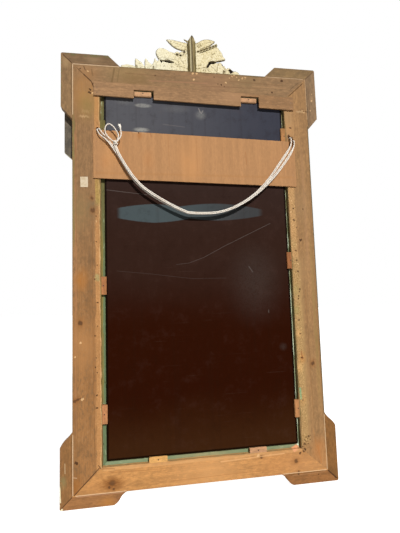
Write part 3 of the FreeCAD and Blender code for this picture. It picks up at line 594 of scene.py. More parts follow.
def pineFinish(name, look):
    tree = Tree(bpy.data.materials.new(name))
    look = {**pine, **look}
    tone, upright = look["tone"], look["grain"] == "z"
    place = tree.place()
    x, y, z = tree.parts(place)
    length, width = (z, x) if upright else (x, z)
    flat = tree.vector("MULTIPLY", place, (1, 0, 1))
    shifted = tree.vector("ADD", place, [look["seed"] * share for share in (0.37, 0.61, 0.83)])

    def along(share):  # a scale that draws things out along the grain
        return (1, 1, share) if upright else (share, 1, 1)

    def grained(share, scale, detail, roughness=0.5):
        return tree.noise(tree.vector("MULTIPLY", shifted, along(share)), scale, detail, roughness)

    sockets = {"Vector": tree.vector("MULTIPLY", place, along(0.1)), "Scale": 210.0, "Detail": 3.0}
    wobble = tree.vector("SUBTRACT", tree.node("ShaderNodeTexNoise", None, sockets, 1), (0.5, 0.5, 0.5))
    ragged = tree.vector("ADD", flat, tree.vector("MULTIPLY", wobble, (look["ragged"], 0, look["ragged"])))
    raggedX, _, raggedZ = tree.parts(ragged)
    drift = grained(0.045, 11, 2)
    streaks = grained(0.045, look["streakSize"], 3, 0.6)
    fibres = grained(0.012, 1150, 2, 0.6)
    mottle = grained(0.4, 170, 4, 0.7)
    dents = grained(0.045, 240, 3, 0.7)
    grime = tree.noise(shifted, 16, 4, 0.65)
    rings = (width + y * 0.6 + length * look["lean"]) / look["ringPitch"] + drift * look["wander"]
    halo = None
    for knotX, knotZ, radius, _ in look.get("knots", ()):
        halo = tree.larger(halo, spotMask(tree, flat, knotX, knotZ, radius * 3.2, 1.0, along(0.5)))
    if halo is not None:  # the rings bend round the knots
        rings = rings + halo * 5.0
    late = tree.node("ShaderNodeMath", {"operation": "FRACT"}, {0: rings}) ** 3.5
    colour = tree.between(tree.step(streaks, 0.3, 0.7), (*tone, look["deepShare"]), (*tone, look["paleShare"]))
    colour = tree.layers(colour,
        (late * look["ringStrength"], [channel * share for channel, share in zip(tone, look["lateTone"])]),
        (tree.step(fibres, 0.52, 0.8) * look["fibreStrength"], (*tone, 0.7)))
    if "farEnd" in look:  # the board's other end has another tone
        start, end, shade = look["farEnd"]
        share = tree.step(length + drift * 0.08, start, end)
        colour = tree.mix(share, colour, tree.vector("MULTIPLY", colour, shade))
    colour = tree.layers(colour,
        (tree.step(mottle, 0.47, 0.66) * look["mottleStrength"], (*tone, 0.84)),
        (tree.step(mottle, 0.47, 0.32) * look["mottleStrength"] * 0.8, (*tone, 1.12)),
        (tree.step(grime, 0.5, 0.78) * look["grimeStrength"], (*tone, 0.66)),
        (tree.step(dents, 0.66, 0.8) * 0.35, (*tone, 0.55)))
    for ledge in look.get("ledges", ()):  # runny green paint in the rebate, cream in front of the pane
        streaky = grained(0.2, 150, 4, 0.7)
        green = tree.layers(tree.between(tree.step(z, 0.55, 0.86), look["ledgeGreen"], look["ledgeOlive"]),
            (tree.step(streaky, 0.42, 0.3), look["ledgeDeep"]),
            (tree.step(streaky, 0.56, 0.68) * 0.8, look["ledgePale"]))
        mask = bandMask(tree, x, z, *ledge, (1, 1))
        colour = tree.mix(mask, colour, green)
        cream = tree.between(tree.step(streaky, 0.3, 0.7), *look["ledgeCream"])
        colour = tree.mix(mask * tree.step(y, -0.0094, -0.0088), colour, cream)
    for *band, shade, strength in look.get("bands", ()):
        patchy = tree.step(grime + streaks * 0.5, 0.45, 0.85) * 0.4 + 0.6
        colour = tree.layers(colour, (bandMask(tree, raggedX, raggedZ, *band) * patchy * strength, shade))
    for spotX, spotZ, radius, shade, strength in look.get("stains", ()):
        mask = spotMask(tree, flat, spotX, spotZ, radius, 1.0, along(0.55))
        mask = mask * (tree.step(mottle + grime, 0.75, 1.15) * 0.6 + 0.5)
        colour = tree.layers(colour, (mask * strength, shade))
    for knotX, knotZ, radius, strength in look.get("knots", ()):
        shares = [  # its rim, core and heart
            spotMask(tree, ragged, knotX, knotZ, radius * reach, soft, along(stretch)) * share * strength
            for reach, soft, stretch, share in ((2.0, 1.0, 0.7, 0.65), (1.0, 0.6, 1, 0.85), (0.55, 0.5, 1, 0.5))
        ]
        colour = tree.layers(colour, *zip(shares, look["knotTones"]))
    for sort, strength, shade in (("ticks", 0.9, crackColour), ("chips", 0.7, rawColour)):
        mask = None
        for spotX, spotZ, radius in look.get(sort, ()):
            mask = tree.larger(mask, spotMask(tree, ragged, spotX, spotZ, radius * 1.2, 0.4))
        if mask is not None:
            colour = tree.layers(colour, (mask * strength, shade))
    for start, end, thickness, shade, strength in look.get("seams", ()):
        broken = tree.step(dents + streaks * 0.4, 0.4, 0.62) * 0.5 + 0.5
        colour = tree.layers(colour, (seamMask(tree, flat, start, end, thickness) * broken * strength, shade))
    if "speckled" in look:  # specks of old glue and dirt beside the rebate
        *band, strength = look["speckled"]
        speck = tree.noise(tree.vector("MULTIPLY", shifted, (1, 1, 0.7)), 330, 3, 0.75)
        mask = bandMask(tree, raggedX, raggedZ, *band, (3, 20)) * strength
        shares = [mask * tree.step(speck, 0.52, 0.64), mask * tree.step(speck, 0.44, 0.32)]
        colour = tree.layers(colour, *zip(shares, look["speckTones"]))
    if "splash" in look:  # paint that ran over the outer rounded edges
        *band, shade = look["splash"]
        patchy = tree.step(tree.noise(shifted, 60, 4, 0.7), 0.46, 0.58)
        colour = tree.layers(colour, (bandMask(tree, raggedX, raggedZ, *band, (1.5, 3)) * patchy, shade))
    height = late * 0.5 + fibres * 0.45 + dents * 0.5
    return tree.principled({
        "Base Color": colour, "Roughness": look["roughness"] - late * 0.12,
        "Normal": tree.bump(height, 0.4, 0.0006), "Specular IOR Level": 0.14,
    })


# each board: the way of its grain, its tone, and its marks in millimetres, by x and z
boards = {
    "left_stile": {
        "grain": "z", "seed": 1, "tone": (143, 109, 74), "farEnd": (0.95, 0.45, (1.2, 1.02, 0.79)),
        "ledges": [(-281.5, -250, 60, 1172)],
        "bands": [
            (-297.5, -284, 60, 1140, (2, 5), (186, 133, 82), 0.9),
            (-286.6, -284.4, 60, 1140, (0.8, 4), (222, 180, 126), 0.6),
            (-297, -284, 815, 895, (3, 10), (156, 136, 72), 0.75),
            (-297, -288, 600, 618, (3, 4), (150, 160, 110), 0.6),
            (-284.5, -281.8, 60, 1160, (0.8, 4), (84, 76, 36), 0.8),
            (-282.8, -277.6, 270, 760, (1.2, 50), (136, 118, 60), 0.8),
            (-359, -354, 700, 1080, (1.5, 30), (120, 112, 64), 0.6),
            (-334, -312, 1088, 1096, (4, 2.5), (196, 160, 118), 0.4),
            (-340, -314, 1073, 1079, (5, 2), (208, 172, 128), 0.6),
            (-352, -349, 200, 1060, (2, 60), (176, 122, 82), 0.5),
        ],
        "stains": [
            (-336, 604, 27, (178, 112, 44), 0.6), (-350, 54, 26, (150, 94, 40), 0.7),
            (-322, 1140, 60, (180, 128, 72), 0.6), (-292, 1018, 18, (196, 120, 76), 0.5),
            (-303, 806, 26, (116, 100, 74), 0.7), (-318, 1110, 40, (128, 112, 66), 0.5),
            (-340, 800, 50, (142, 116, 76), 0.5), (-330, 420, 60, (186, 132, 80), 0.5),
        ],
        "knots": [
            (-308, 835, 6, 0.8), (-304, 800, 9, 0.9), (-338.6, 484.5, 9, 1), (-352, 277, 5.5, 1), (-345, 280, 5.5, 1),
        ],
        "ticks": [
            (-311, 1159, 3), (-312, 1149, 3.4), (-295, 783, 2.2), (-294.5, 710, 2), (-294, 644, 2), (-298, 605, 2.2),
            (-350, 116, 4.6), (-293, 540, 2), (-294, 350, 2), (-293, 474, 2.4), (-299.6, 448, 2.4),
            (-296.4, 388, 2.4), (-299.8, 364, 2.4), (-296.3, 288, 2.4), (-296.4, 254.5, 2.4),
        ],
        "chips": [
            (-303, 1148, 3), (-298, 1142, 3), (-295, 768, 2.2), (-338.6, 430.6, 2.6), (-353, 393, 2.6),
            (-334, 281, 3.4),
        ],
        "seams": [
            ((-348, 1224), (-327, 1203), 1.6, crackColour, 0.7), ((-328, 1204), (-306, 1183), 2.4, crackColour, 0.95),
            ((-306, 1183), (-294, 1152), 2.4, crackColour, 0.9), ((-356, 34), (-290, 99), 1.8, crackColour, 0.9),
            ((-293, 106), (-286, 96), 1.6, crackColour, 0.9), ((-359, 1080), (-359, 1238), 1.7, glueColour, 0.75),
            ((-359, 34), (-359, 190), 1.8, glueColour, 0.75), ((-351, 1000), (-349, 700), 1.2, (120, 84, 50), 0.5),
            ((-306, 780), (-305, 260), 1.2, (128, 84, 44), 0.5), ((-302, 500), (-303, 120), 1.0, (128, 84, 44), 0.5),
            ((-357, 80), (-348, 78), 2.4, (216, 180, 140), 0.4), ((-360, 192), (-360, 1078), 1.8, (110, 92, 60), 0.5),
            ((-359, 275), (-349, 279), 3, (96, 64, 38), 0.75), ((-349, 279), (-337, 284), 2.6, (96, 64, 38), 0.75),
        ],
        "splash": (-362, -357, 955, 1060, (136, 122, 74)), "speckled": (-299, -284, 60, 1100, 0.35),
    },
    "right_stile": {
        "grain": "z", "seed": 2, "tone": (158, 120, 79), "lean": -0.01, "farEnd": (0.2, 0.05, (1.3, 1.16, 1.04)),
        "ledges": [(245, 281.5, 60, 1172)],
        "bands": [
            # the next band is a painted highlight: the ledge beside the pane is made pale as if the light reached it
            # past the wall
            (245, 277.5, 60, 1172, (1.4, 40), (215, 222, 192), 1.0),
            (283, 303, 655, 906, (3, 12), (192, 148, 98), 0.8), (283, 309, 116, 655, (10, 14), (184, 150, 98), 0.65),
            (283, 306, 1040, 1140, (9, 20), (176, 140, 98), 0.6),
            # the next band is painted shade: the dark strip at the rebate's edge stands for the right wall in shadow
            (281.8, 284.5, 60, 1160, (0.8, 4), (84, 78, 44), 0.7),
            (325, 352, 1122, 1127, (5, 2), (198, 164, 122), 0.5), (330, 338, 640, 1000, (4, 60), (170, 128, 92), 0.4),
            (343, 352, 240, 700, (3, 60), (150, 122, 72), 0.5),
        ],
        "stains": [
            (299, 359, 16, (196, 130, 66), 0.6), (338, 90, 30, (188, 120, 62), 0.5),
            (318, 620, 46, (160, 124, 84), 0.5), (322, 820, 50, (150, 118, 82), 0.5),
            (296, 1060, 22, (190, 136, 84), 0.5), (290, 500, 14, (150, 140, 84), 0.5),
            (293, 430, 12, (222, 170, 108), 0.6), (291, 330, 14, (226, 176, 112), 0.5),
            (290, 560, 16, (160, 146, 92), 0.5), (294, 240, 16, (216, 160, 96), 0.5),
            (292, 700, 14, (164, 146, 96), 0.5),
        ],
        "knots": [(332.4, 340, 8, 1)], "speckled": (283, 305, 100, 1000, 0.75),
        "ticks": [
            (315, 713, 3.8), (296.5, 812, 3), (296, 774, 3.4), (303, 753, 2.2), (297, 680, 2.6), (299, 651, 3),
            (301, 616, 3.2), (303, 563, 3), (302, 556, 2.4), (297.1, 470, 3), (297.3, 430, 3), (300, 359, 3),
            (302.6, 1069, 2.6), (294.5, 121.2, 3.4), (292.7, 111.5, 3.4), (293.1, 97.4, 3.4), (303, 126, 2.2),
            (309, 122, 1.8), (300, 118, 1.8), (303, 110, 1.8), (311, 134, 1.8), (299, 1072, 2), (328, 810, 2),
            (294.5, 1043, 4.4), (303.5, 1036, 4.4), (297.5, 542, 2.6), (297, 534.5, 2.6), (295.8, 234.5, 2.6),
            (305.9, 131.2, 2.8), (299, 130, 1.8), (288, 104, 2),
        ],
        "chips": [
            (350, 1124, 3.6), (343, 1129, 2.4), (292, 835, 2), (290, 800, 2.2), (294, 758, 1.8), (299, 700, 1.8),
            (302, 640, 2), (305, 590, 2),
        ],
        "seams": [
            ((350, 1220), (300, 1174), 2.0, crackColour, 0.85), ((336, 1222), (306, 1196), 1.4, crackColour, 0.5),
            ((333, 104), (342, 52), 2.6, (176, 112, 58), 0.45), ((322, 150), (330, 96), 2, (176, 116, 62), 0.4),
            ((359, 1100), (359, 1238), 1.2, glueColour, 0.4), ((359, 34), (359, 190), 2, glueColour, 0.5),
            ((362, 1060), (360, 1150), 1.6, crackColour, 0.6),
            ((287.8, 272), (289.4, 237.5), 4.5, (112, 168, 124), 0.75),
            # on the next line, the seam at x 360 is painted shade along the stile's right outer edge
            ((352, 900), (355, 300), 1.2, (128, 90, 52), 0.5), ((360, 192), (360, 1078), 4, (84, 74, 50), 0.9),
            ((321, 560), (325, 180), 1.2, (136, 94, 54), 0.5), ((298.4, 378), (298.8, 365), 1.8, (130, 70, 35), 0.8),
            ((298.8, 365), (300.5, 352), 1.8, (130, 70, 35), 0.8),
        ],
    },
    "top_rail": {
        "grain": "x", "seed": 3, "tone": (143, 112, 79), "ledges": [(-282, 282, 1120, 1171)],
        "stains": [
            (-330, 1205, 40, (172, 120, 70), 0.4), (150, 1215, 50, (138, 112, 76), 0.5),
            (-200, 1215, 60, (150, 124, 80), 0.5), (-180, 1196, 40, (122, 92, 56), 0.5),
            (60, 1200, 60, (150, 112, 82), 0.5),
        ],
        "bands": [
            (-300, 300, 1150, 1172, (3, 3), (110, 104, 74), 0.7),
            (-226, 226, 1232, 1237, (2, 1.2), (84, 72, 42), 0.7),
        ],
        "ticks": [
            (281, 1223, 4.6), (-338, 1222, 2.4), (60, 1222, 2), (190, 1220, 3.8), (83, 1198, 2.4), (92, 1192, 2),
            (72, 1200, 2), (-120, 1214, 3.4), (246, 1184, 3),
        ],
        "chips": [
            (-317, 1214, 2.6), (-5, 1228, 3.4), (7, 1229, 3.6), (-3, 1209, 3), (109, 1222, 2.6), (98, 1207, 3),
            (140, 1218, 2.8), (160, 1226, 3), (126, 1231, 2.6), (118, 1228, 2), (150, 1224, 2.4), (132, 1226, 2),
        ],
        "seams": [
            ((-328, 1229), (-323, 1216), 1.8, crackColour, 0.8), ((-348, 1224), (-327, 1203), 1.6, crackColour, 0.7),
            ((-328, 1204), (-306, 1183), 2.4, crackColour, 0.95), ((350, 1220), (300, 1174), 2.0, crackColour, 0.85),
            ((336, 1222), (306, 1196), 1.4, crackColour, 0.5), ((-240, 1230), (-248, 1184), 4, (104, 80, 50), 0.6),
            ((-226, 1228), (-232, 1186), 2.4, (110, 86, 54), 0.5),
            ((-306, 1222), (-302, 1200), 3, (112, 84, 54), 0.6), ((-358, 1234), (-226, 1234), 1.6, glueColour, 0.7),
            ((226, 1234), (352, 1234), 1.3, glueColour, 0.45), ((-210, 1216), (-60, 1213), 2.2, (112, 80, 54), 0.45),
            ((-140, 1197), (40, 1200), 3, (160, 116, 86), 0.5), ((20, 1190), (210, 1194), 2.2, (116, 82, 56), 0.45),
            ((110, 1212), (280, 1208), 2.4, (118, 84, 56), 0.4), ((-60, 1224), (60, 1222), 2.6, (156, 116, 84), 0.45),
            ((180, 1200), (290, 1199), 2.6, (168, 128, 90), 0.4),
        ],
    },
    "bottom_rail": {
        "grain": "x", "seed": 4, "tone": (194, 140, 84), "farEnd": (-0.02, -0.12, (1.055, 1.055, 1.02)),
        "deepShare": 0.92, "ledges": [(-282, 282, 99.5, 130)],
        "bands": [
            (-282, 282, 90, 98, (3, 2), (214, 164, 110), 0.5), (-276, 282, 100, 110, (2, 2), (146, 158, 124), 0.6),
        ],
        "stains": [
            (-300, 50, 60, (178, 124, 74), 0.35), (230, 60, 60, (184, 126, 74), 0.6),
            (-257, 55, 28, (122, 74, 32), 0.9), (0, 60, 80, (216, 160, 102), 0.5), (290, 50, 60, (180, 130, 84), 0.5),
        ],
        "knots": [
            (-257, 57, 11, 0.7), (-266, 47, 4.2, 1), (-254, 42, 4.2, 1), (160, 86, 5, 0.9), (264.5, 65, 8, 0.8),
            (270, 36, 4, 0.8),
        ],
        "ticks": [(276.5, 87.2, 2.8), (287.5, 90.9, 3.2)], "chips": [(150, 90, 4)],
        "seams": [
            ((-356, 34), (-290, 99), 1.8, crackColour, 0.9), ((-293, 106), (-286, 96), 1.6, crackColour, 0.9),
            ((-284, 96), (-250, 93), 1.8, (150, 98, 54), 0.7), ((-352, 33), (-220, 33), 1.8, glueColour, 0.7),
            ((222, 33), (356, 33), 1.8, (222, 194, 156), 0.6), ((-260, 84), (-120, 80), 1.4, (160, 106, 58), 0.5),
            ((-100, 46), (180, 50), 1.4, (166, 112, 62), 0.5), ((40, 84), (230, 90), 2.6, (228, 176, 122), 0.5),
            ((257, 95), (281, 108), 8, (222, 158, 112), 0.95),
        ],
    },
    "top_batten": {
        "grain": "x", "seed": 5, "tone": (157, 121, 86), "streakSize": 80, "ringPitch": 0.0058, "wander": 7,
        "farEnd": (0.1, 0.22, (0.84, 0.8, 0.74)),
        "stains": [(267, 1180, 12, (120, 82, 50), 0.7), (120, 1160, 40, (170, 130, 94), 0.5)],
        # the band is a painted highlight along the batten's top edge, as if lit from above
        "bands": [(-310, 320, 1182, 1188, (2, 2), (184, 148, 110), 0.4)],
        "seams": [((240, 1176), (268, 1176), 1.6, (100, 68, 42), 0.6)],
    },
    "crossboard": {
        "grain": "z", "seed": 6, "tone": (176, 130, 87), "paleShare": 1.03, "deepShare": 0.965, "ringPitch": 0.0034,
        "ringStrength": 0.26, "wander": 2.4, "grimeStrength": 0.1, "mottleStrength": 0.3,
        "bands": [
            (-190, -150, 1031, 1036, (5, 1.5), (206, 184, 150), 0.3),
            (80, 260, 1030, 1036, (12, 1.5), (214, 176, 132), 0.5),
            (-300, 300, 905, 911, (4, 3), (168, 118, 70), 0.4),
        ],
        "stains": [
            (-20, 950, 60, (200, 142, 88), 0.5), (-250, 960, 50, (196, 140, 86), 0.4),
            (-170, 1026, 12, (160, 100, 48), 0.6), (-145, 950, 26, (184, 120, 66), 0.3),
            (-270, 940, 20, (180, 116, 62), 0.2),
        ],
        "seams": [
            ((-138, 1040), (-136, 1020), 2.2, (150, 96, 56), 0.6), ((150, 985), (152, 945), 1.6, (160, 106, 62), 0.7),
            ((-86, 1030), (-84, 930), 1.2, (168, 116, 70), 0.6), ((-2, 1030), (0, 920), 1.2, (168, 116, 70), 0.5),
        ],
        "ticks": [(-172, 1031, 2.6), (-276, 1020, 2.4)],
        "chips": [(-236, 1034, 2.4), (64, 1033, 2.2), (214, 1034, 2.8)],
    },
    "ear_left_upper_side": {
        "grain": "z", "seed": 7, "tone": (136, 107, 74), "mottleStrength": 0.8,
        "seams": [
            ((-361, 1080), (-361, 1236), 1.4, crackColour, 0.5), ((-387, 1261), (-361, 1236), 1.8, crackColour, 0.9),
        ],
        "stains": [(-378, 1240, 16, (176, 146, 104), 0.6)], "splash": (-395, -389, 1080, 1250, (120, 108, 70)),
    },
    "ear_left_top": {
        "grain": "x", "seed": 8, "tone": (124, 98, 70), "mottleStrength": 0.8,
        "seams": [
            ((-387, 1261), (-361, 1236), 1.8, crackColour, 0.9),
            ((-350, 1237), (-226, 1237), 1.6, (112, 84, 56), 0.4),
        ],
        "stains": [(-300, 1252, 20, (150, 124, 92), 0.5)], "splash": (-380, -220, 1260, 1270, (104, 96, 62)),
    },
    "ear_right_top": {
        "grain": "x", "seed": 9, "tone": (133, 107, 73), "mottleStrength": 0.8,
        "seams": [
            ((387, 1261), (361, 1236), 1.8, crackColour, 0.7), ((226, 1237), (350, 1237), 1.6, (112, 84, 56), 0.4),
        ],
        "stains": [(310, 1250, 16, (148, 118, 76), 0.4)],
    },
    "ear_right_upper_side": {
        "grain": "z", "seed": 10, "tone": (134, 108, 80), "mottleStrength": 0.8,
        "seams": [
            ((361, 1080), (361, 1236), 1.6, crackColour, 0.5), ((387, 1261), (361, 1236), 1.8, crackColour, 0.7),
            ((368, 1090), (369, 1210), 1.4, (112, 80, 56), 0.6),
        ],
        "stains": [(378, 1170, 10, (164, 132, 96), 0.5)], "chips": [(379, 1185, 2), (377, 1164, 2.4), (372, 1130, 2)],
    },
    "ear_left_lower_side": {
        "grain": "z", "seed": 11, "tone": (146, 104, 62),
        "seams": [
            ((-361, 34), (-361, 190), 1.6, crackColour, 0.4), ((-379, 118), (-378.5, 92), 1.6, (196, 168, 128), 0.7),
            ((-387, 6), (-361, 31), 1.8, crackColour, 0.8), ((-392, 60), (-390, 20), 2.4, (236, 224, 186), 0.9),
        ],
        "stains": [(-384, 70, 14, (130, 134, 90), 0.5)], "splash": (-396, -390, 2, 60, (238, 226, 186)),
    },
    "ear_left_foot": {
        "grain": "x", "seed": 12, "tone": (154, 108, 66),
        "seams": [
            ((-387, 6), (-361, 31), 1.8, crackColour, 0.8), ((-350, 30), (-230, 30), 1.4, (186, 140, 110), 0.5),
        ],
        "stains": [(-270, 8, 22, (180, 122, 58), 0.6), (-236, 14, 16, (120, 80, 56), 0.5)],
        "splash": (-396, -384, -2, 20, (238, 226, 186)),
    },
    "ear_right_foot": {
        "grain": "x", "seed": 13, "tone": (146, 100, 58), "mottleStrength": 0.8,
        "seams": [((387, 6), (361, 31), 2.8, crackColour, 0.95), ((250, 26), (350, 28), 1.4, (182, 138, 96), 0.5)],
        "ticks": [(270, 28, 2.4), (330, 22, 2.4)],
    },
    "ear_right_lower_side": {
        "grain": "z", "seed": 14, "tone": (133, 92, 50),
        "seams": [((387, 6), (361, 31), 2.8, crackColour, 0.95), ((362, 197), (391, 165), 2.0, (70, 60, 45), 0.9)],
    },
}
for name, look in boards.items():
    dress(name, pineFinish("pine_" + name, look))
blockTones = {
    "left_low": (178, 122, 80), "left_middle": (176, 118, 74), "left_high": (116, 106, 60),
    "right_low": (180, 126, 80), "right_middle": (156, 100, 60), "right_high": (172, 122, 74),
    "bottom_left": (222, 168, 100), "bottom_right": (196, 148, 108),
    "top_left": (196, 152, 112), "top_right": (188, 144, 106),
}
for index, (name, tone) in enumerate(blockTones.items()):
    look = {"seed": 20 + index, "tone": tone, "ringPitch": 0.0022, "streakSize": 120, "wander": 2}
    look["grain"] = "z" if name.startswith(("left", "right")) else "x"
    dress("glazing_block_" + name, pineFinish("pine_block_" + name, look))
print("pine done")


# the painted front, its mouldings and the carving share one old cream paint
paint = {
    "cream": (222, 208, 166),
    "pale": (236, 226, 194),
    "grime": (158, 142, 98),
    "under": (150, 152, 118),
    "wood": (136, 100, 64),
    # the bare backs' tone is darkened as painted shade
    "bareBackInShade": (84, 75, 61),
    "carvedDust": (186, 168, 114),
    "carvedSpeck": (138, 116, 68),
    "carvedHollow": (104, 88, 50),
    "carvedBright": (234, 232, 208),
    "carvedRim": (104, 86, 44),
    "carvedPit": (124, 108, 68),
    # the near black of the deep recesses is painted shade
    "carvedRecessShade": (38, 26, 12),
    "cell": 95,
}


def paintFinish(name, look):
    tree = Tree(bpy.data.materials.new(name))
    place = tree.place()
    x, y, _ = tree.parts(place)
    shifted = tree.vector("ADD", place, [look["seed"] * share for share in (0.31, 0.17, 0.53)])
    cloud = tree.noise(shifted, 13, 4, 0.6)
    grain = tree.noise(shifted, 260, 3, 0.65)
    sockets = {"Vector": shifted, "Scale": paint["cell"]}
    cracks = tree.node("ShaderNodeTexVoronoi", {"feature": "DISTANCE_TO_EDGE"}, sockets)
    fine = tree.step(cracks, 0.05, 0.0) * tree.step(cloud, 0.45, 0.6)
    wear = tree.step(tree.noise(shifted, 70, 5, 0.7) + look.get("wearMore", 0.0), 0.63, 0.69)
    if "ridge" in look:  # worn through along the highest lines
        low, high = look["ridge"]
        wear = tree.larger(wear * 0.35, tree.step(y, low, high) * tree.step(tree.noise(shifted, 46, 4, 0.7), 0.44, 0.6))
    colour = tree.layers(tree.between(tree.step(cloud, 0.35, 0.68), paint["cream"], paint["pale"]),
        (fine * 0.45, paint["grime"]), (tree.step(grain, 0.58, 0.78) * 0.3, paint["grime"]),
        (wear * tree.step(grain, 0.3, 0.5), paint["under"]), (wear * tree.step(grain, 0.48, 0.62), paint["wood"]))
    if "carved" in look:  # dirt in the hollows, darker lines along the outlines, and painted shade in the deep recesses
        hollow, rim, recessShade = [tree.attribute(stored) for stored in ("hollow", "rim", "recessShade")]
        speckle = tree.noise(shifted, 190, 4, 0.75)
        leftward = tree.step(x, -0.09, -0.01) * 0.6 + 0.4
        pits = tree.step(tree.noise(shifted, 420, 3, 0.75), 0.6, 0.72)
        colour = tree.layers(colour,
            (tree.step(speckle, 0.47, 0.62) * 0.8, paint["carvedDust"]),
            (tree.step(speckle, 0.58, 0.68) * 0.8, paint["carvedSpeck"]),
            (tree.step(hollow, 0.08, 0.9) * 0.85, paint["carvedHollow"]),
            (tree.step(x, -0.02, -0.11) * 0.4, paint["carvedBright"]),
            (rim * leftward * (tree.step(speckle, 0.36, 0.56) * 0.6 + 0.15), paint["carvedRim"]),
            (pits * 0.5, paint["carvedPit"]), (recessShade, paint["carvedRecessShade"]))
    if "bareShadedBack" in look:  # the boards' backs were never painted; their bare wood gets a dark tone as painted shade, as if the stile shaded it
        _, facing, _ = tree.parts(tree.node("ShaderNodeNewGeometry", output="Normal"))
        oldGrain = tree.noise(tree.vector("MULTIPLY", shifted, (1, 1, 0.3)), 190, 4, 0.7)
        shadedWood = tree.between(tree.step(oldGrain, 0.4, 0.6), (*paint["bareBackInShade"], 0.8), (*paint["bareBackInShade"], 1.12))
        colour = tree.mix(tree.step(facing, -0.4, -0.8), colour, shadedWood)
    height = grain * 0.6 + cloud * 0.4 - fine * 0.6 - wear * 0.5
    return tree.principled({
        "Base Color": colour, "Roughness": 0.62 + grain * 0.2, "Normal": tree.bump(height, 0.45, 0.0007),
        "Specular IOR Level": 0.35,
    })


for index, side in enumerate(("left", "bottom", "right", "top")):
    dress("front_board_" + side, paintFinish("paint_board_" + side, {"seed": 30 + index, "bareShadedBack": True}))
    dress("edge_moulding_" + side, paintFinish("paint_edge_" + side, {"seed": 40 + index, "ridge": (0.0236, 0.0256)}))
    dress("sight_moulding_" + side, paintFinish("paint_sight_" + side, {"seed": 50 + index, "ridge": (0.0190, 0.0206)}))
print("paint done")


# the pane: silvered in front, glossy brown paint behind, green glass at the edges
pane = {
    "middle": (0.002, 0.632),
    # where the painted edge shade begins, from the middle
    "edgeShadeFrom": (0.273, 0.52),
    "foxingFrom": (0.235, 0.482),
    "brown": (47, 29, 22),
    "low": (41, 13, 3),
    "foot": (58, 33, 15),
    "bloom": (48, 33, 28),
    # greys of the painted reflection on the back, and where it begins and ends
    "reflectionGrey": (84, 84, 88),
    "reflectionGreyRight": (56, 58, 68),
    "reflectionBottom": 0.9,
    "reflectionTop": 1.03,
    "silver": (228, 232, 230),
    "foxed": (112, 100, 84),
    "edge": (112, 150, 128),
    "patchTones": ((70, 80, 82), (60, 62, 63)),
    "patches": [  # middle x and z, half width and height, bend and taper of the outline; metres
        (-0.13, 0.794, 0.11, 0.0275, 1.6, 0.5), (0.055, 0.7995, 0.148, 0.0255, 1.8, 0.68),
    ],
    "scratchTone": (150, 142, 136),
    "scratches": [  # ends, width, strength; millimetres
        ((222, 766), (73, 695), 1.2, 0.17), ((73, 695), (12, 663), 1.2, 0.15), ((12, 663), (-32, 647), 1.1, 0.13),
        ((-32, 647), (-70, 643), 1.1, 0.1), ((-240, 627), (-145, 617), 1, 0.07), ((-145, 617), (-23, 601), 1, 0.07),
        ((-23, 601), (78, 601), 1, 0.07), ((148, 635), (160, 617), 2.4, 0.14), ((-268, 862), (-150, 849), 1.4, 0.18),
        ((-100, 1066), (-34, 1060), 2.2, 0.13), ((10, 1122), (16, 1106), 2.2, 0.5), ((24, 1116), (18, 1104), 2, 0.45),
    ],
    "wipeTone": (158, 156, 148),
    "wipes": [  # x, z, radius, strength, stretch, softness; millimetres
        (-158, 1121, 30, 0.5, (1, 1, 3.8), 0.45), (16, 1100, 22, 0.3, (1, 1, 1.1), 0.9),
        (-164, 1046, 30, 0.75, (1, 1, 3.4), 0.7), (-212, 1128, 24, 0.12, (0.7, 1, 2), 0.9),
        (-60, 1116, 36, 0.1, (0.6, 1, 2), 0.9), (164, 585, 110, 0.045, (1, 1, 0.7), 1),
        (204, 499, 5, 0.16, (1.6, 1, 0.6), 0.9), (244, 393, 16, 0.05, (1, 1, 1), 0.9),
    ],
}


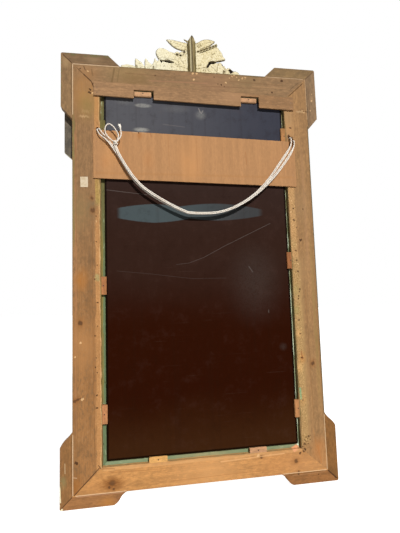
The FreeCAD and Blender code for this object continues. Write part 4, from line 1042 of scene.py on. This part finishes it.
def paneFinish():
    tree = Tree(bpy.data.materials.new("mirror_glass"))
    place = tree.place()
    x, _, z = tree.parts(place)
    flat = tree.vector("MULTIPLY", place, (1, 0, 1))
    cloud = tree.noise(place, 5.5, 3, 0.5)
    fine = tree.noise(place, 300, 3, 0.6)
    # painted reflection: the back's glossy paint is greyed towards the top, lighter on the left than on the right
    reflectionGrey = tree.between(tree.step(x, -0.25, 0.28), pane["reflectionGrey"], pane["reflectionGreyRight"])
    reflectionShare = tree.step(z + cloud * 0.1, pane["reflectionBottom"], pane["reflectionTop"])
    bloom = tree.step(z, 0.7, 0.87) * tree.step(z, 0.93, 0.9)
    colour = tree.between(tree.step(z + cloud * 0.12, 0.74, 0.5), pane["brown"], pane["low"])
    colour = tree.layers(colour, (tree.step(z + cloud * 0.1, 0.34, 0.16) * 0.8, pane["foot"]))
    colour = tree.layers(tree.mix(reflectionShare * 0.95, colour, reflectionGrey), (bloom * 0.9, pane["bloom"]))
    patch = None
    for middleX, middleZ, reach, rise, bend, taper in pane["patches"]:
        outward = abs((x - middleX) / reach)
        half = (1 - outward ** bend * taper) * rise
        patch = tree.larger(patch, tree.step(half - abs(z - middleZ), -0.0014, 0.0014) * tree.step(outward, 1.0, 0.85))
    colour = tree.mix(patch * 0.9, colour, tree.between(tree.step(x, -0.1, 0.15), *pane["patchTones"]))
    for start, end, thickness, strength in pane["scratches"]:
        colour = tree.layers(colour, (seamMask(tree, flat, start, end, thickness) * strength, pane["scratchTone"]))
    scratches = tree.noise(tree.vector("MULTIPLY", place, (0.015, 1, 1)), 420, 2, 0.6)
    streaks = tree.noise(tree.vector("MULTIPLY", place, (1, 1, 0.03)), 60, 2, 0.6)
    smudges = tree.noise(place, 24, 6, 0.8)
    colour = tree.layers(colour,
        (tree.step(scratches, 0.68, 0.78) * 0.12, (120, 100, 88)), (tree.step(streaks, 0.5, 0.75) * 0.16, (34, 18, 10)),
        (tree.step(smudges, 0.5, 0.7) * 0.05, (104, 78, 70)), (tree.step(smudges, 0.48, 0.34) * 0.2, (30, 14, 6)))
    for wipeX, wipeZ, radius, strength, stretch, soft in pane["wipes"]:
        mask = spotMask(tree, flat, wipeX, wipeZ, radius, soft, stretch) * (tree.step(fine, 0.34, 0.56) * 0.5 + 0.5)
        colour = tree.layers(colour, (mask * strength, pane["wipeTone"]))
    specks = tree.step(tree.noise(place, 160, 4, 0.8), 0.7, 0.76)
    fromMiddle = [abs(spot - centre) for spot, centre in zip((x, z), pane["middle"])]
    # painted shade with some dirt: a near black line round the pane's edges, where the rebate and the battens shade it
    edgeShadeNear, edgeNear = [
        tree.larger(fromMiddle[0] - halfWidth, fromMiddle[1] - halfHeight)
        for halfWidth, halfHeight in (pane["edgeShadeFrom"], pane["foxingFrom"])
    ]
    colour = tree.layers(colour, (specks * 0.2, (108, 96, 84)),
        (tree.step(edgeShadeNear + fine * 0.002, -0.006, -0.0026) * 0.85, (14, 8, 3)))
    _, facing, _ = tree.parts(tree.node("ShaderNodeNewGeometry", output="Normal"))
    front = tree.step(facing, 0.5, 0.9)
    foxing = tree.step(tree.noise(place, 30, 6, 0.75) + edgeNear * 5.0, 0.66, 0.78)
    colour = tree.mix(front, colour, tree.between(foxing * 0.8, pane["silver"], pane["foxed"]))
    colour = tree.layers(colour, (tree.step(abs(facing), 0.5, 0.2), pane["edge"]))
    return tree.principled({
        "Base Color": colour, "Metallic": front * (1 - foxing * 0.6),
        "Roughness": 0.42 - front * 0.4 + foxing * front * 0.3 + fine * 0.08,
        "Specular IOR Level": 0.008 + front * 0.43, "Normal": tree.bump(fine * (1 - front), 0.12, 0.0003),
    })


dress("mirror_pane", paneFinish())


def ironFinish(name, dark, light):
    tree = Tree(bpy.data.materials.new(name))
    rust = tree.noise(tree.place(), 700, 4, 0.7)
    return tree.principled({
        "Base Color": tree.between(tree.step(rust, 0.35, 0.65), dark, light),
        "Metallic": tree.step(rust, 0.6, 0.35) * 0.5, "Roughness": 0.55 + rust * 0.3,
        "Normal": tree.bump(rust, 0.5, 0.0003),
    })


def labelFinish():
    tree = Tree(bpy.data.materials.new("label_paper"))
    place = tree.place()
    fleck = tree.noise(place, 900, 3, 0.7)
    stain = tree.noise(place, 90, 3, 0.6)
    colour = tree.between(tree.step(stain, 0.45, 0.7) * 0.7, (206, 188, 160), (186, 162, 126))
    return tree.principled({
        "Base Color": tree.layers(colour, (tree.step(fleck, 0.6, 0.75) * 0.35, (178, 146, 104))),
        "Roughness": 0.9, "Normal": tree.bump(fleck, 0.2, 0.0002), "Specular IOR Level": 0.2,
    })


def strutFinish():  # old dark wood with a pale ridge, a splash of the cream paint, and a dark facet at the point painted as shade
    tree = Tree(bpy.data.materials.new("strut_wood"))
    place = tree.place()
    x, _, z = tree.parts(place)
    streaks = tree.noise(tree.vector("MULTIPLY", place, (1, 1, 0.05)), 330, 3, 0.65)
    smear = tree.noise(place, 80, 4, 0.7)
    ridge = tree.step(abs(x + 0.008), 0.0028, 0.0008)
    edges = tree.larger(tree.step(x, -0.0118, -0.0138), tree.step(x, 0.0026, 0.0056))
    groove = tree.step(abs(x + 0.0042), 0.003, 0.001)
    # painted shade: the facet right of the point is dark as if turned from the light
    shadedFacet = tree.step(z + x * 0.8, 1.3525, 1.3545) * tree.step(x, -0.0085, -0.0065)
    splash = tree.step(z, 1.338, 1.35) * tree.step(x, 0.002, 0.006) * tree.step(smear, 0.4, 0.5)
    colour = tree.layers(tree.between(tree.step(streaks, 0.35, 0.65), (84, 69, 34), (154, 136, 90)),
        (ridge * tree.step(streaks, 0.28, 0.46) * 0.85, (214, 202, 162)), (edges * 0.7, (84, 74, 36)),
        (groove * 0.85, (76, 62, 28)), (shadedFacet * 0.85, (58, 46, 20)), (splash, (236, 222, 186)),
        (tree.step(smear, 0.62, 0.72) * 0.5, (214, 202, 160)))
    return tree.principled({
        "Base Color": colour, "Roughness": 0.7, "Normal": tree.bump(streaks, 0.45, 0.0006), "Specular IOR Level": 0.3,
    })


dress("glazing_block_nails", ironFinish("iron_bare", (46, 34, 28), (96, 56, 32)))
dress("batten_nails", ironFinish("iron_in_batten", (104, 76, 52), (150, 112, 78)))
dress("crossboard_nails", ironFinish("iron_in_crossboard", (140, 98, 62), (178, 130, 86)))
dress("paper_label", labelFinish())
dress("crest_strut", strutFinish())
print("pane, nails, label and strut done")


# a row of small beads on the flat of the sight moulding
pearls = {
    "beadRadius": 0.0026,
    "pitch": 0.0061,
    "outside": 0.00215,
    "sightX": 0.26016,
    "sightBottom": 0.11776,
    "sightTop": 1.139,
    "seat": 0.01175,
    "segments": 8,
    "rings": 6,
}


def pearlTree():
    tree = newTree("pearlRow", {"Pitch": "Float", "Bead Radius": "Float", "Material": "Material"})
    given = tree.nodes.new("NodeGroupInput").outputs
    line = addNode(tree, "GeometryNodeMeshToCurve", None, {"Mesh": given["Geometry"]}).outputs[0]
    step = {"Curve": line, "Length": given["Pitch"]}
    spots = addNode(tree, "GeometryNodeCurveToPoints", {"mode": "LENGTH"}, step)
    bead = addNode(tree, "GeometryNodeMeshUVSphere", None,
        {"Segments": pearls["segments"], "Rings": pearls["rings"], "Radius": given["Bead Radius"]})
    row = addNode(tree, "GeometryNodeInstanceOnPoints", None, {"Points": spots.outputs[0], "Instance": bead.outputs[0]})
    return addEnd(tree, row.outputs[0], given["Material"])


def makePearls():
    reach = pearls["sightX"] + pearls["outside"]
    bottom, top = pearls["sightBottom"] - pearls["outside"], pearls["sightTop"] + pearls["outside"]
    lastBead = bottom + pearls["pitch"]  # one pitch above the first bead
    corners = [Vector((x, pearls["seat"], z)) for x, z in (
        (-reach, bottom), (reach, bottom), (reach, top), (-reach, top), (-reach, lastBead),
    )]
    finish = paintFinish("paint_pearls", {"seed": 61, "ridge": (0.0132, 0.0144)})
    row = grown(chains("pearl_row", [corners]), pearlTree(), {
        "Pitch": pearls["pitch"], "Bead Radius": pearls["beadRadius"], "Material": finish,
    })
    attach(row, "root")


makePearls()
print("pearls done")


# the carved crest, as one relief with a worked front and a rough flat back; millimetres
crest = {
    "cell": 1.1,
    "curveSteps": 9,
    "base": 1235,
    "top": 1369,
    "reach": 222.4,
    "backAt": 3.5,
    "thinnest": 1.6,
    "thickest": 19.9,
    "rimShare": 0.5,
    "backRound": (3.2, 4.5),  # depth and width
    "outlineWidth": 0.9,
    "petals": 5,
    "button": 0.32,
    "smallFlower": 6,
    "veinWidth": 1.3,
    "veinDepth": (1.5, 0.7),  # in front and behind
    "nickWidth": 1.2,
    "recessRound": 2.6,
    "toolMarks": 0.35,
    "forms": {  # outline, setback of the back, depth to the front, width of the rounding
        "middle": ([(-60, 1226), (-58, 1262), (-50, 1282), (-34, 1300), (-24, 1318), (-18, 1338), (-7, 1348),
            (7, 1347), (16, 1335), (22, 1318), (32, 1298), (46, 1272), (53, 1226)], 0.0, 20, 16),
        "leftWing": ([(-7, 1262), (-40, 1265), (-62, 1276), (-76, 1282), (-92, 1282), (-102, 1282), (-110, 1291),
            (-115, 1303), (-114, 1312), (-108, 1319), (-98, 1322.5), (-86, 1320.5), (-77, 1315), (-68, 1312),
            (-56, 1309.5), (-46, 1306), (-34, 1306), (-10, 1313)], 0.8, 14, 11),
        "rightWing": ([(0, 1262), (36, 1266), (50, 1274), (62, 1284), (74, 1289), (90, 1293), (105.5, 1299),
            (100, 1308), (96, 1319), (88, 1330), (79, 1340), (68, 1335), (50, 1326), (30, 1317), (8, 1311)], 0.8, 14,
            11),
        "leftLeaf": ([(-12, 1314), (-24, 1317), (-38, 1319.5), (-50, 1323), (-61, 1329.5), (-72, 1340), (-81.5, 1351),
            (-64, 1352.5), (-48, 1350), (-31, 1347), (-12, 1342)], 1.6, 10, 7),
        "rightLeaf": ([(2, 1316), (20, 1320.5), (27, 1326), (36, 1331), (46, 1335.5), (57, 1342), (67, 1350),
            (73.5, 1357), (64, 1361.5), (51, 1363), (39, 1361.5), (28, 1356.5), (17, 1349.5), (2, 1341)], 1.6, 10, 7),
        "hookedSprig": ([(-28.5, 1357), (-22, 1351), (-14, 1345), (-8, 1344), (-8, 1352), (-15, 1352), (-22, 1355)],
            1.5, 5, 2),
        "leafletOne": ([(-58, 1304), (-53, 1312), (-45, 1314), (-40, 1308), (-44, 1301)], 0.2, 9, 3),
        "leafletTwo": ([(-43, 1303), (-39, 1312), (-32, 1316), (-27, 1310), (-31, 1302)], 0.4, 9, 3),
        "leafletThree": ([(-31, 1306), (-28, 1318), (-22, 1323), (-17, 1314), (-21, 1304)], 0.9, 9, 3),
        "leftLowLeaf": ([(-100, 1226), (-102, 1262), (-107, 1277), (-113, 1280), (-117.5, 1287.5), (-121, 1279),
            (-124, 1270), (-130, 1263), (-134, 1252), (-132, 1226)], 0.4, 15, 8),
        "leftInnerLeaf": ([(-46, 1226), (-46, 1278), (-60, 1285), (-80, 1288), (-98, 1288), (-106, 1283),
            (-111, 1275), (-114, 1262), (-114, 1226)], 0.2, 16, 11),
        "leftCurl": ([(-124, 1226), (-124, 1257), (-129, 1267), (-138, 1274), (-145.5, 1284.5), (-150, 1276),
            (-150, 1262), (-153, 1250), (-151, 1226)], 0.7, 14, 7),
        "leftBud": ([(-150, 1226), (-150, 1254), (-153, 1262), (-159, 1270), (-166, 1275.5), (-172, 1279.5),
            (-178, 1280), (-179.5, 1264), (-176, 1248), (-173, 1226)], 0.3, 13, 8),
        "leftTip": ([(-171, 1226), (-174, 1252), (-184, 1258.5), (-194, 1260.5), (-203, 1261.5), (-212, 1259),
            (-221, 1255), (-221, 1226)], 0.9, 12, 7),
        "rightInnerLeaf": ([(38, 1226), (40, 1260), (48, 1278), (58, 1288), (72, 1289), (84, 1282), (90, 1262),
            (88, 1226)], 0.2, 16, 10),
        "rightLowLeaf": ([(78, 1226), (78, 1268), (85, 1288), (94, 1284.5), (103, 1276.5), (112, 1266), (118, 1250),
            (118, 1226)], 0.6, 15, 9),
        "rightCurl": ([(106, 1226), (106, 1262), (113, 1271.5), (123, 1268.5), (131, 1263), (136, 1250), (134, 1226)],
            0.3, 13, 8),
        "rightTail": ([(126, 1226), (127, 1258), (137, 1263.5), (146, 1258), (153, 1249), (157, 1240), (154, 1226)],
            0.8, 12, 6),
        "rightTip": ([(150, 1226), (152, 1243), (168, 1247.5), (190, 1246), (206, 1243), (221, 1240), (221, 1226)],
            0.4, 11, 6),
    },
    "flowers": [  # x, z, radius, depth
        (74, 1262, 13, 17), (102, 1258, 11, 16), (-120, 1252, 11, 16), (-162, 1256, 9, 14), (126, 1250, 9, 14),
        (21, 1319, 5.9, 13), (30.5, 1324, 5.9, 13), (40, 1328, 5.9, 13), (50, 1332, 5.9, 13), (59.5, 1336.5, 5.6, 13),
        (69, 1341, 5.4, 12), (77, 1345, 4.8, 11),
    ],
    "fans": [  # flutes that spread from a root: x, z, count to the full turn, depth, within which form
        (0, 1222, 46, 2.6, "middle"), (0, 1262, 60, 2.0, "leftWing"), (4, 1262, 60, 2.0, "rightWing"),
        (-70, 1226, 40, 1.8, "leftInnerLeaf"), (66, 1226, 40, 1.8, "rightInnerLeaf"),
        (100, 1226, 40, 1.8, "rightLowLeaf"), (-114, 1226, 40, 1.8, "leftLowLeaf"), (-138, 1226, 44, 1.6, "leftCurl"),
        (122, 1226, 44, 1.6, "rightCurl"),
    ],
    "veins": [  # from the root to the tip of a leaf
        [(-12, 1328), (-40, 1336), (-78, 1350)], [(6, 1330), (36, 1345), (70, 1357)], [(-172, 1228), (-190, 1250),
        (-218, 1252)], [(134, 1240), (142, 1250), (150, 1244)], [(-162, 1230), (-164, 1256), (-170, 1277)],
    ],
    "nicks": [  # short cuts seen from behind
        [(12, 1345), (20, 1331)], [(16, 1347), (25, 1333)], [(22, 1349), (29, 1337)], [(11, 1269), (19, 1272),
        (26, 1274)], [(8, 1262), (14, 1260), (21, 1262)], [(-75, 1314), (-57, 1303), (-38, 1292)], [(-66, 1269),
        (-67, 1258)], [(36, 1262), (32, 1254)], [(42, 1268), (47, 1258), (54, 1254)], [(58, 1270), (66, 1266),
        (72, 1258)], [(-128, 1262), (-134, 1256), (-142, 1254)], [(-112, 1272), (-118, 1264), (-117, 1256)],
        [(-160, 1266), (-168, 1264)], [(-156, 1256), (-163, 1252)], [(-88, 1266), (-94, 1258)], [(-44, 1272),
        (-50, 1262)], [(98, 1270), (104, 1262)], [(90, 1334), (95, 1322)], [(97, 1316), (101, 1308)], [(-36, 1284),
        (-30, 1276)], [(60, 1310), (70, 1316)],
    ],
    "recesses": [  # undercuts seen from behind, darkened by painted shade: outline and depth
        ([(-103, 1283.5), (-96, 1281), (-88, 1283), (-77, 1284), (-68, 1281), (-59, 1276), (-68, 1273.5), (-80, 1274),
            (-88, 1276), (-95, 1277), (-98, 1272.5), (-101, 1276)], 12),
        ([(43, 1266), (47, 1276), (52, 1286), (59, 1290), (68, 1289.5), (73, 1284), (64, 1280), (57, 1279),
            (52, 1272), (47, 1266)], 12),
        ([(68, 1288), (84, 1292), (106, 1298.5), (106, 1295), (86, 1288), (73, 1283)], 9),
        ([(114, 1264), (121, 1268), (130, 1267.5), (141, 1262), (131, 1259), (125, 1254.5), (120, 1252), (117, 1258)],
            11),
        ([(92, 1281), (98, 1284), (101, 1278), (96, 1275)], 6),
        ([(102, 1275), (108, 1277), (112, 1271), (105, 1269)], 6),
        ([(-54, 1303), (-48, 1307), (-44, 1304), (-48, 1300)], 6),
        ([(-42, 1302), (-37, 1305), (-34, 1300), (-39, 1298)], 5),
        ([(-29, 1314), (-26, 1321), (-23, 1315), (-26, 1308)], 5),
        ([(16, 1315), (34, 1323), (56, 1333), (80, 1344), (82, 1348), (64, 1341), (44, 1332), (24, 1324), (14, 1319)],
            3.4),
        ([(-156, 1244), (-150, 1254), (-147, 1248), (-150, 1240)], 3),
        ([(-180, 1250), (-176, 1260), (-171, 1254), (-174, 1246)], 3),
        ([(-128, 1250), (-124, 1260), (-120, 1254), (-123, 1248)], 4),
        ([(94, 1254), (99, 1262), (103, 1256), (98, 1250)], 4),
    ],
}


def roundedOutline(corners):  # a smooth curve through the corners
    steps = crest["curveSteps"]
    points = np.array(corners, float)
    before, after, beyond = np.roll(points, 1, 0), np.roll(points, -1, 0), np.roll(points, -2, 0)
    share = (np.arange(steps) / steps)[:, None, None]
    curve = 0.5 * (2 * points + (after - before) * share
        + (2 * before - 5 * points + 4 * after - beyond) * share ** 2
        + (3 * points - before - 3 * after + beyond) * share ** 3)
    return curve.transpose(1, 0, 2).reshape(-1, 2)


def lineDistance(line, x, z):
    nearest = np.full(x.shape, 999.0)
    for (startX, startZ), (endX, endZ) in zip(line, line[1:]):
        runX, runZ = endX - startX, endZ - startZ
        share = np.clip(((x - startX) * runX + (z - startZ) * runZ) / max(runX ** 2 + runZ ** 2, 1e-9), 0, 1)
        nearest = np.minimum(nearest, np.hypot(x - startX - share * runX, z - startZ - share * runZ))
    return nearest


def insideDistance(corners, x, z):  # positive inside a closed outline
    outline = [tuple(corner) for corner in roundedOutline(corners)]
    inside = np.zeros(x.shape, bool)
    for (startX, startZ), (endX, endZ) in zip(outline, outline[1:] + outline[:1]):
        crosses = (startZ > z) != (endZ > z)
        inside ^= crosses & (x < startX + (z - startZ) * (endX - startX) / ((endZ - startZ) or 1e-9))
    return np.where(inside, 1, -1) * lineDistance(outline + outline[:1], x, z)


def dome(share):  # a quarter circle from 0 to 1
    return np.sqrt(1 - (1 - np.clip(share, 0, 1)) ** 2)


def crease(distance, width):  # 1 on a line, fading beside it
    return np.exp(-(distance / width) ** 2)


def blurred(height, reach):  # each height's mean over the cells round it
    for axis in (0, 1):
        padded = np.concatenate([height.take([0] * reach, axis), height, height.take([-1] * reach, axis)], axis)
        total = sum(np.roll(padded, shift, axis) for shift in range(-reach, reach + 1))
        height = total.take(range(reach, padded.shape[axis] - reach), axis) / (2 * reach + 1)
    return height


def waves(x, z, seed, scale):  # smooth seeded unevenness, about -1 to 1
    chance = np.random.default_rng(seed)
    total = np.zeros(x.shape)
    for _ in range(14):
        angle, size, phase = chance.uniform(0, math.tau), scale * chance.uniform(0.6, 1.7), chance.uniform(0, math.tau)
        total += np.sin((x * math.cos(angle) + z * math.sin(angle)) * math.tau / size + phase)
    return total / 5


def carveRelief():
    cell, start, outside = crest["cell"], crest["backAt"], -999.0
    x, z = np.meshgrid(np.arange(-crest["reach"] - 2, crest["reach"] + 2, cell),
        np.arange(crest["base"] - 3, crest["top"], cell))
    extent, front, back = np.full(x.shape, outside), np.full(x.shape, outside), np.full(x.shape, -outside)
    lines = np.zeros(x.shape)
    for name, (corners, setback, depth, roundness) in crest["forms"].items():
        inside = insideDistance(corners, x, z)
        share = (inside - cell * 0.5) / roundness
        rim = depth * crest["rimShare"]
        height = start + rim + (depth - rim) * dome(share)
        for rootX, rootZ, count, flute, owner in crest["fans"]:
            if owner == name:
                angle = np.arctan2(z - rootZ, x - rootX)
                height -= flute * (0.5 + 0.5 * np.cos(angle * count)) ** 3 * np.clip(share * 2, 0, 1)
        drop, width = crest["backRound"]
        behind = start + setback + drop * (1 - dome((inside - cell * 0.5) / width))
        if name != "middle":  # each leaf's outline shows on the back as a cut line
            lines = np.maximum(lines, crease(inside, crest["outlineWidth"]) * (extent > 0))
        extent = np.maximum(extent, inside)
        front = np.maximum(front, np.where(inside > -cell, height, outside))
        back = np.minimum(back, np.where(inside > -cell, behind, -outside))
    for flowerX, flowerZ, radius, depth in crest["flowers"]:
        away, angle = np.hypot(x - flowerX, z - flowerZ), np.arctan2(z - flowerZ, x - flowerX)
        lobes = np.abs(np.cos(angle * crest["petals"] / 2))
        inside = radius * (0.8 + 0.2 * lobes) - away
        petal = np.sin(np.clip(away / radius * 1.1, 0, 1) * math.pi) * lobes ** 0.7
        button = dome(1.2 - away / (radius * crest["button"])) * (away < radius * 0.38)
        height = start + depth - 2.6 + 2.2 * petal + 2.4 * button - 1.5 * (1 - dome(inside / 2.5))
        small = radius < crest["smallFlower"]  # these have a pit in their rounded back
        behind = start + 0.3 + 2.4 * (1 - dome(inside / 2.2)) + (4.2 * crease(away, 1.7) if small else 0)
        extent = np.maximum(extent, inside)
        front = np.maximum(front, np.where(inside > -cell, height, outside))
        back = np.where(inside > -cell, behind if small else np.minimum(back, behind), back)
    for vein in crest["veins"]:
        line = roundedOutline(vein + vein[-2:0:-1])[: crest["curveSteps"] * (len(vein) - 1) + 1]
        groove = crease(lineDistance([tuple(point) for point in line], x, z), crest["veinWidth"])
        front -= crest["veinDepth"][0] * groove
        back += crest["veinDepth"][1] * groove
    for nick in crest["nicks"]:
        lines = np.maximum(lines, crease(lineDistance(nick, x, z), crest["nickWidth"]))
    back += lines
    extent = np.minimum(np.minimum(extent, z - crest["base"]), crest["reach"] - np.abs(x))
    front += crest["toolMarks"] * 0.5 * waves(x, z, 3, 9)
    back += crest["toolMarks"] * (waves(x, z, 5, 12) + 0.6 * waves(x, z, 9, 5))
    for corners, depth in crest["recesses"]:
        back += depth * dome(insideDistance(corners, x, z) / crest["recessRound"])
    front, back = np.clip(front, start + 1, start + crest["thickest"]), np.maximum(back, start)
    return x, z, extent, front, np.minimum(back, front - crest["thinnest"]), lines


def reliefPiece():
    x, z, extent, front, back, lines = carveRelief()
    cell = crest["cell"]
    solid = extent > -0.35 * cell
    cells = solid[:-1, :-1] & solid[1:, :-1] & solid[:-1, 1:] & solid[1:, 1:]
    for _ in range(4):  # no two cells meet only at a corner
        a, b, c, d = cells[:-1, :-1], cells[1:, 1:], cells[1:, :-1], cells[:-1, 1:]
        touching, crossing = a & b & ~c & ~d, c & d & ~a & ~b
        cells[1:, :-1] |= touching
        cells[:-1, :-1] |= crossing
    used, corner = np.zeros(x.shape, bool), np.zeros(x.shape, int)
    for down in (0, 1):
        for right in (0, 1):
            rows, columns = slice(down, x.shape[0] - 1 + down), slice(right, x.shape[1] - 1 + right)
            used[rows, columns] |= cells
            corner[rows, columns] += cells
    border = used & (corner < 4)
    slopeZ, slopeX = np.gradient(extent, cell)
    steep = np.maximum(slopeX ** 2 + slopeZ ** 2, 0.3)
    push = np.clip(extent, -0.9 * cell, 0.9 * cell) / steep
    movedX, movedZ = x - np.where(border, push * slopeX, 0), z - np.where(border, push * slopeZ, 0)
    movedZ = np.maximum(movedZ, crest["base"])
    number = np.full(x.shape, -1)
    number[used] = np.arange(used.sum())
    count = int(used.sum())
    vertices = []
    for depth in (front, back):
        vertices += list(np.stack([movedX[used], depth[used], movedZ[used]], 1) / 1000)
    faces = []
    for row, column in zip(*np.nonzero(cells)):
        ring = [int(number[row + down, column + right]) for down, right in ((0, 0), (0, 1), (1, 1), (1, 0))]
        faces.append(ring[::-1])
        faces.append([index + count for index in ring])
        for step, (down, right) in enumerate(((-1, 0), (0, 1), (1, 0), (0, -1))):
            near = (row + down, column + right)
            if not (0 <= near[0] < cells.shape[0] and 0 <= near[1] < cells.shape[1] and cells[near]):
                first, last = ring[step], ring[(step + 1) % 4]
                faces.append([first, last, last + count, first + count])
    piece = plainObject("carved_crest", vertices, (), faces)
    shape = bmesh.new()
    shape.from_mesh(piece.data)
    bmesh.ops.recalc_face_normals(shape, faces=shape.faces[:])
    for face in shape.faces:
        face.smooth = True
    shape.to_mesh(piece.data)
    shape.free()
    rim = np.exp(-np.clip(extent, 0, 50) / 1.3)[used]
    hollows = []
    for height, way in ((front, -1), (back, 1)):
        filled = np.where(used, height, height[used].mean())
        hollows.append(np.clip(way * (filled - blurred(filled, 3)), 0, 2)[used])
    # backs set far into the relief are marked for painted shade
    recessShade = np.clip((back - crest["backAt"] - 4.5) / 3, 0, 1)[used]
    for name, values in (  # first the front's points, then the back's
        ("hollow", np.concatenate(hollows)), ("rim", np.concatenate([rim * 0.6, np.maximum(rim, lines[used])])),
        ("recessShade", np.concatenate([recessShade * 0, recessShade])),
    ):
        attribute = piece.data.attributes.new(name, "FLOAT", "POINT")
        attribute.data.foreach_set("value", values.astype(np.float32))
    piece.data.materials.append(paintFinish("paint_crest", {"seed": 71, "carved": True, "wearMore": -0.03}))
    return piece


carvedCrest = reliefPiece()
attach(carvedCrest, "root")
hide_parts("crest_carving", "crest_spray_left", "crest_spray_right")
print("crest done:", len(carvedCrest.data.polygons), "faces")
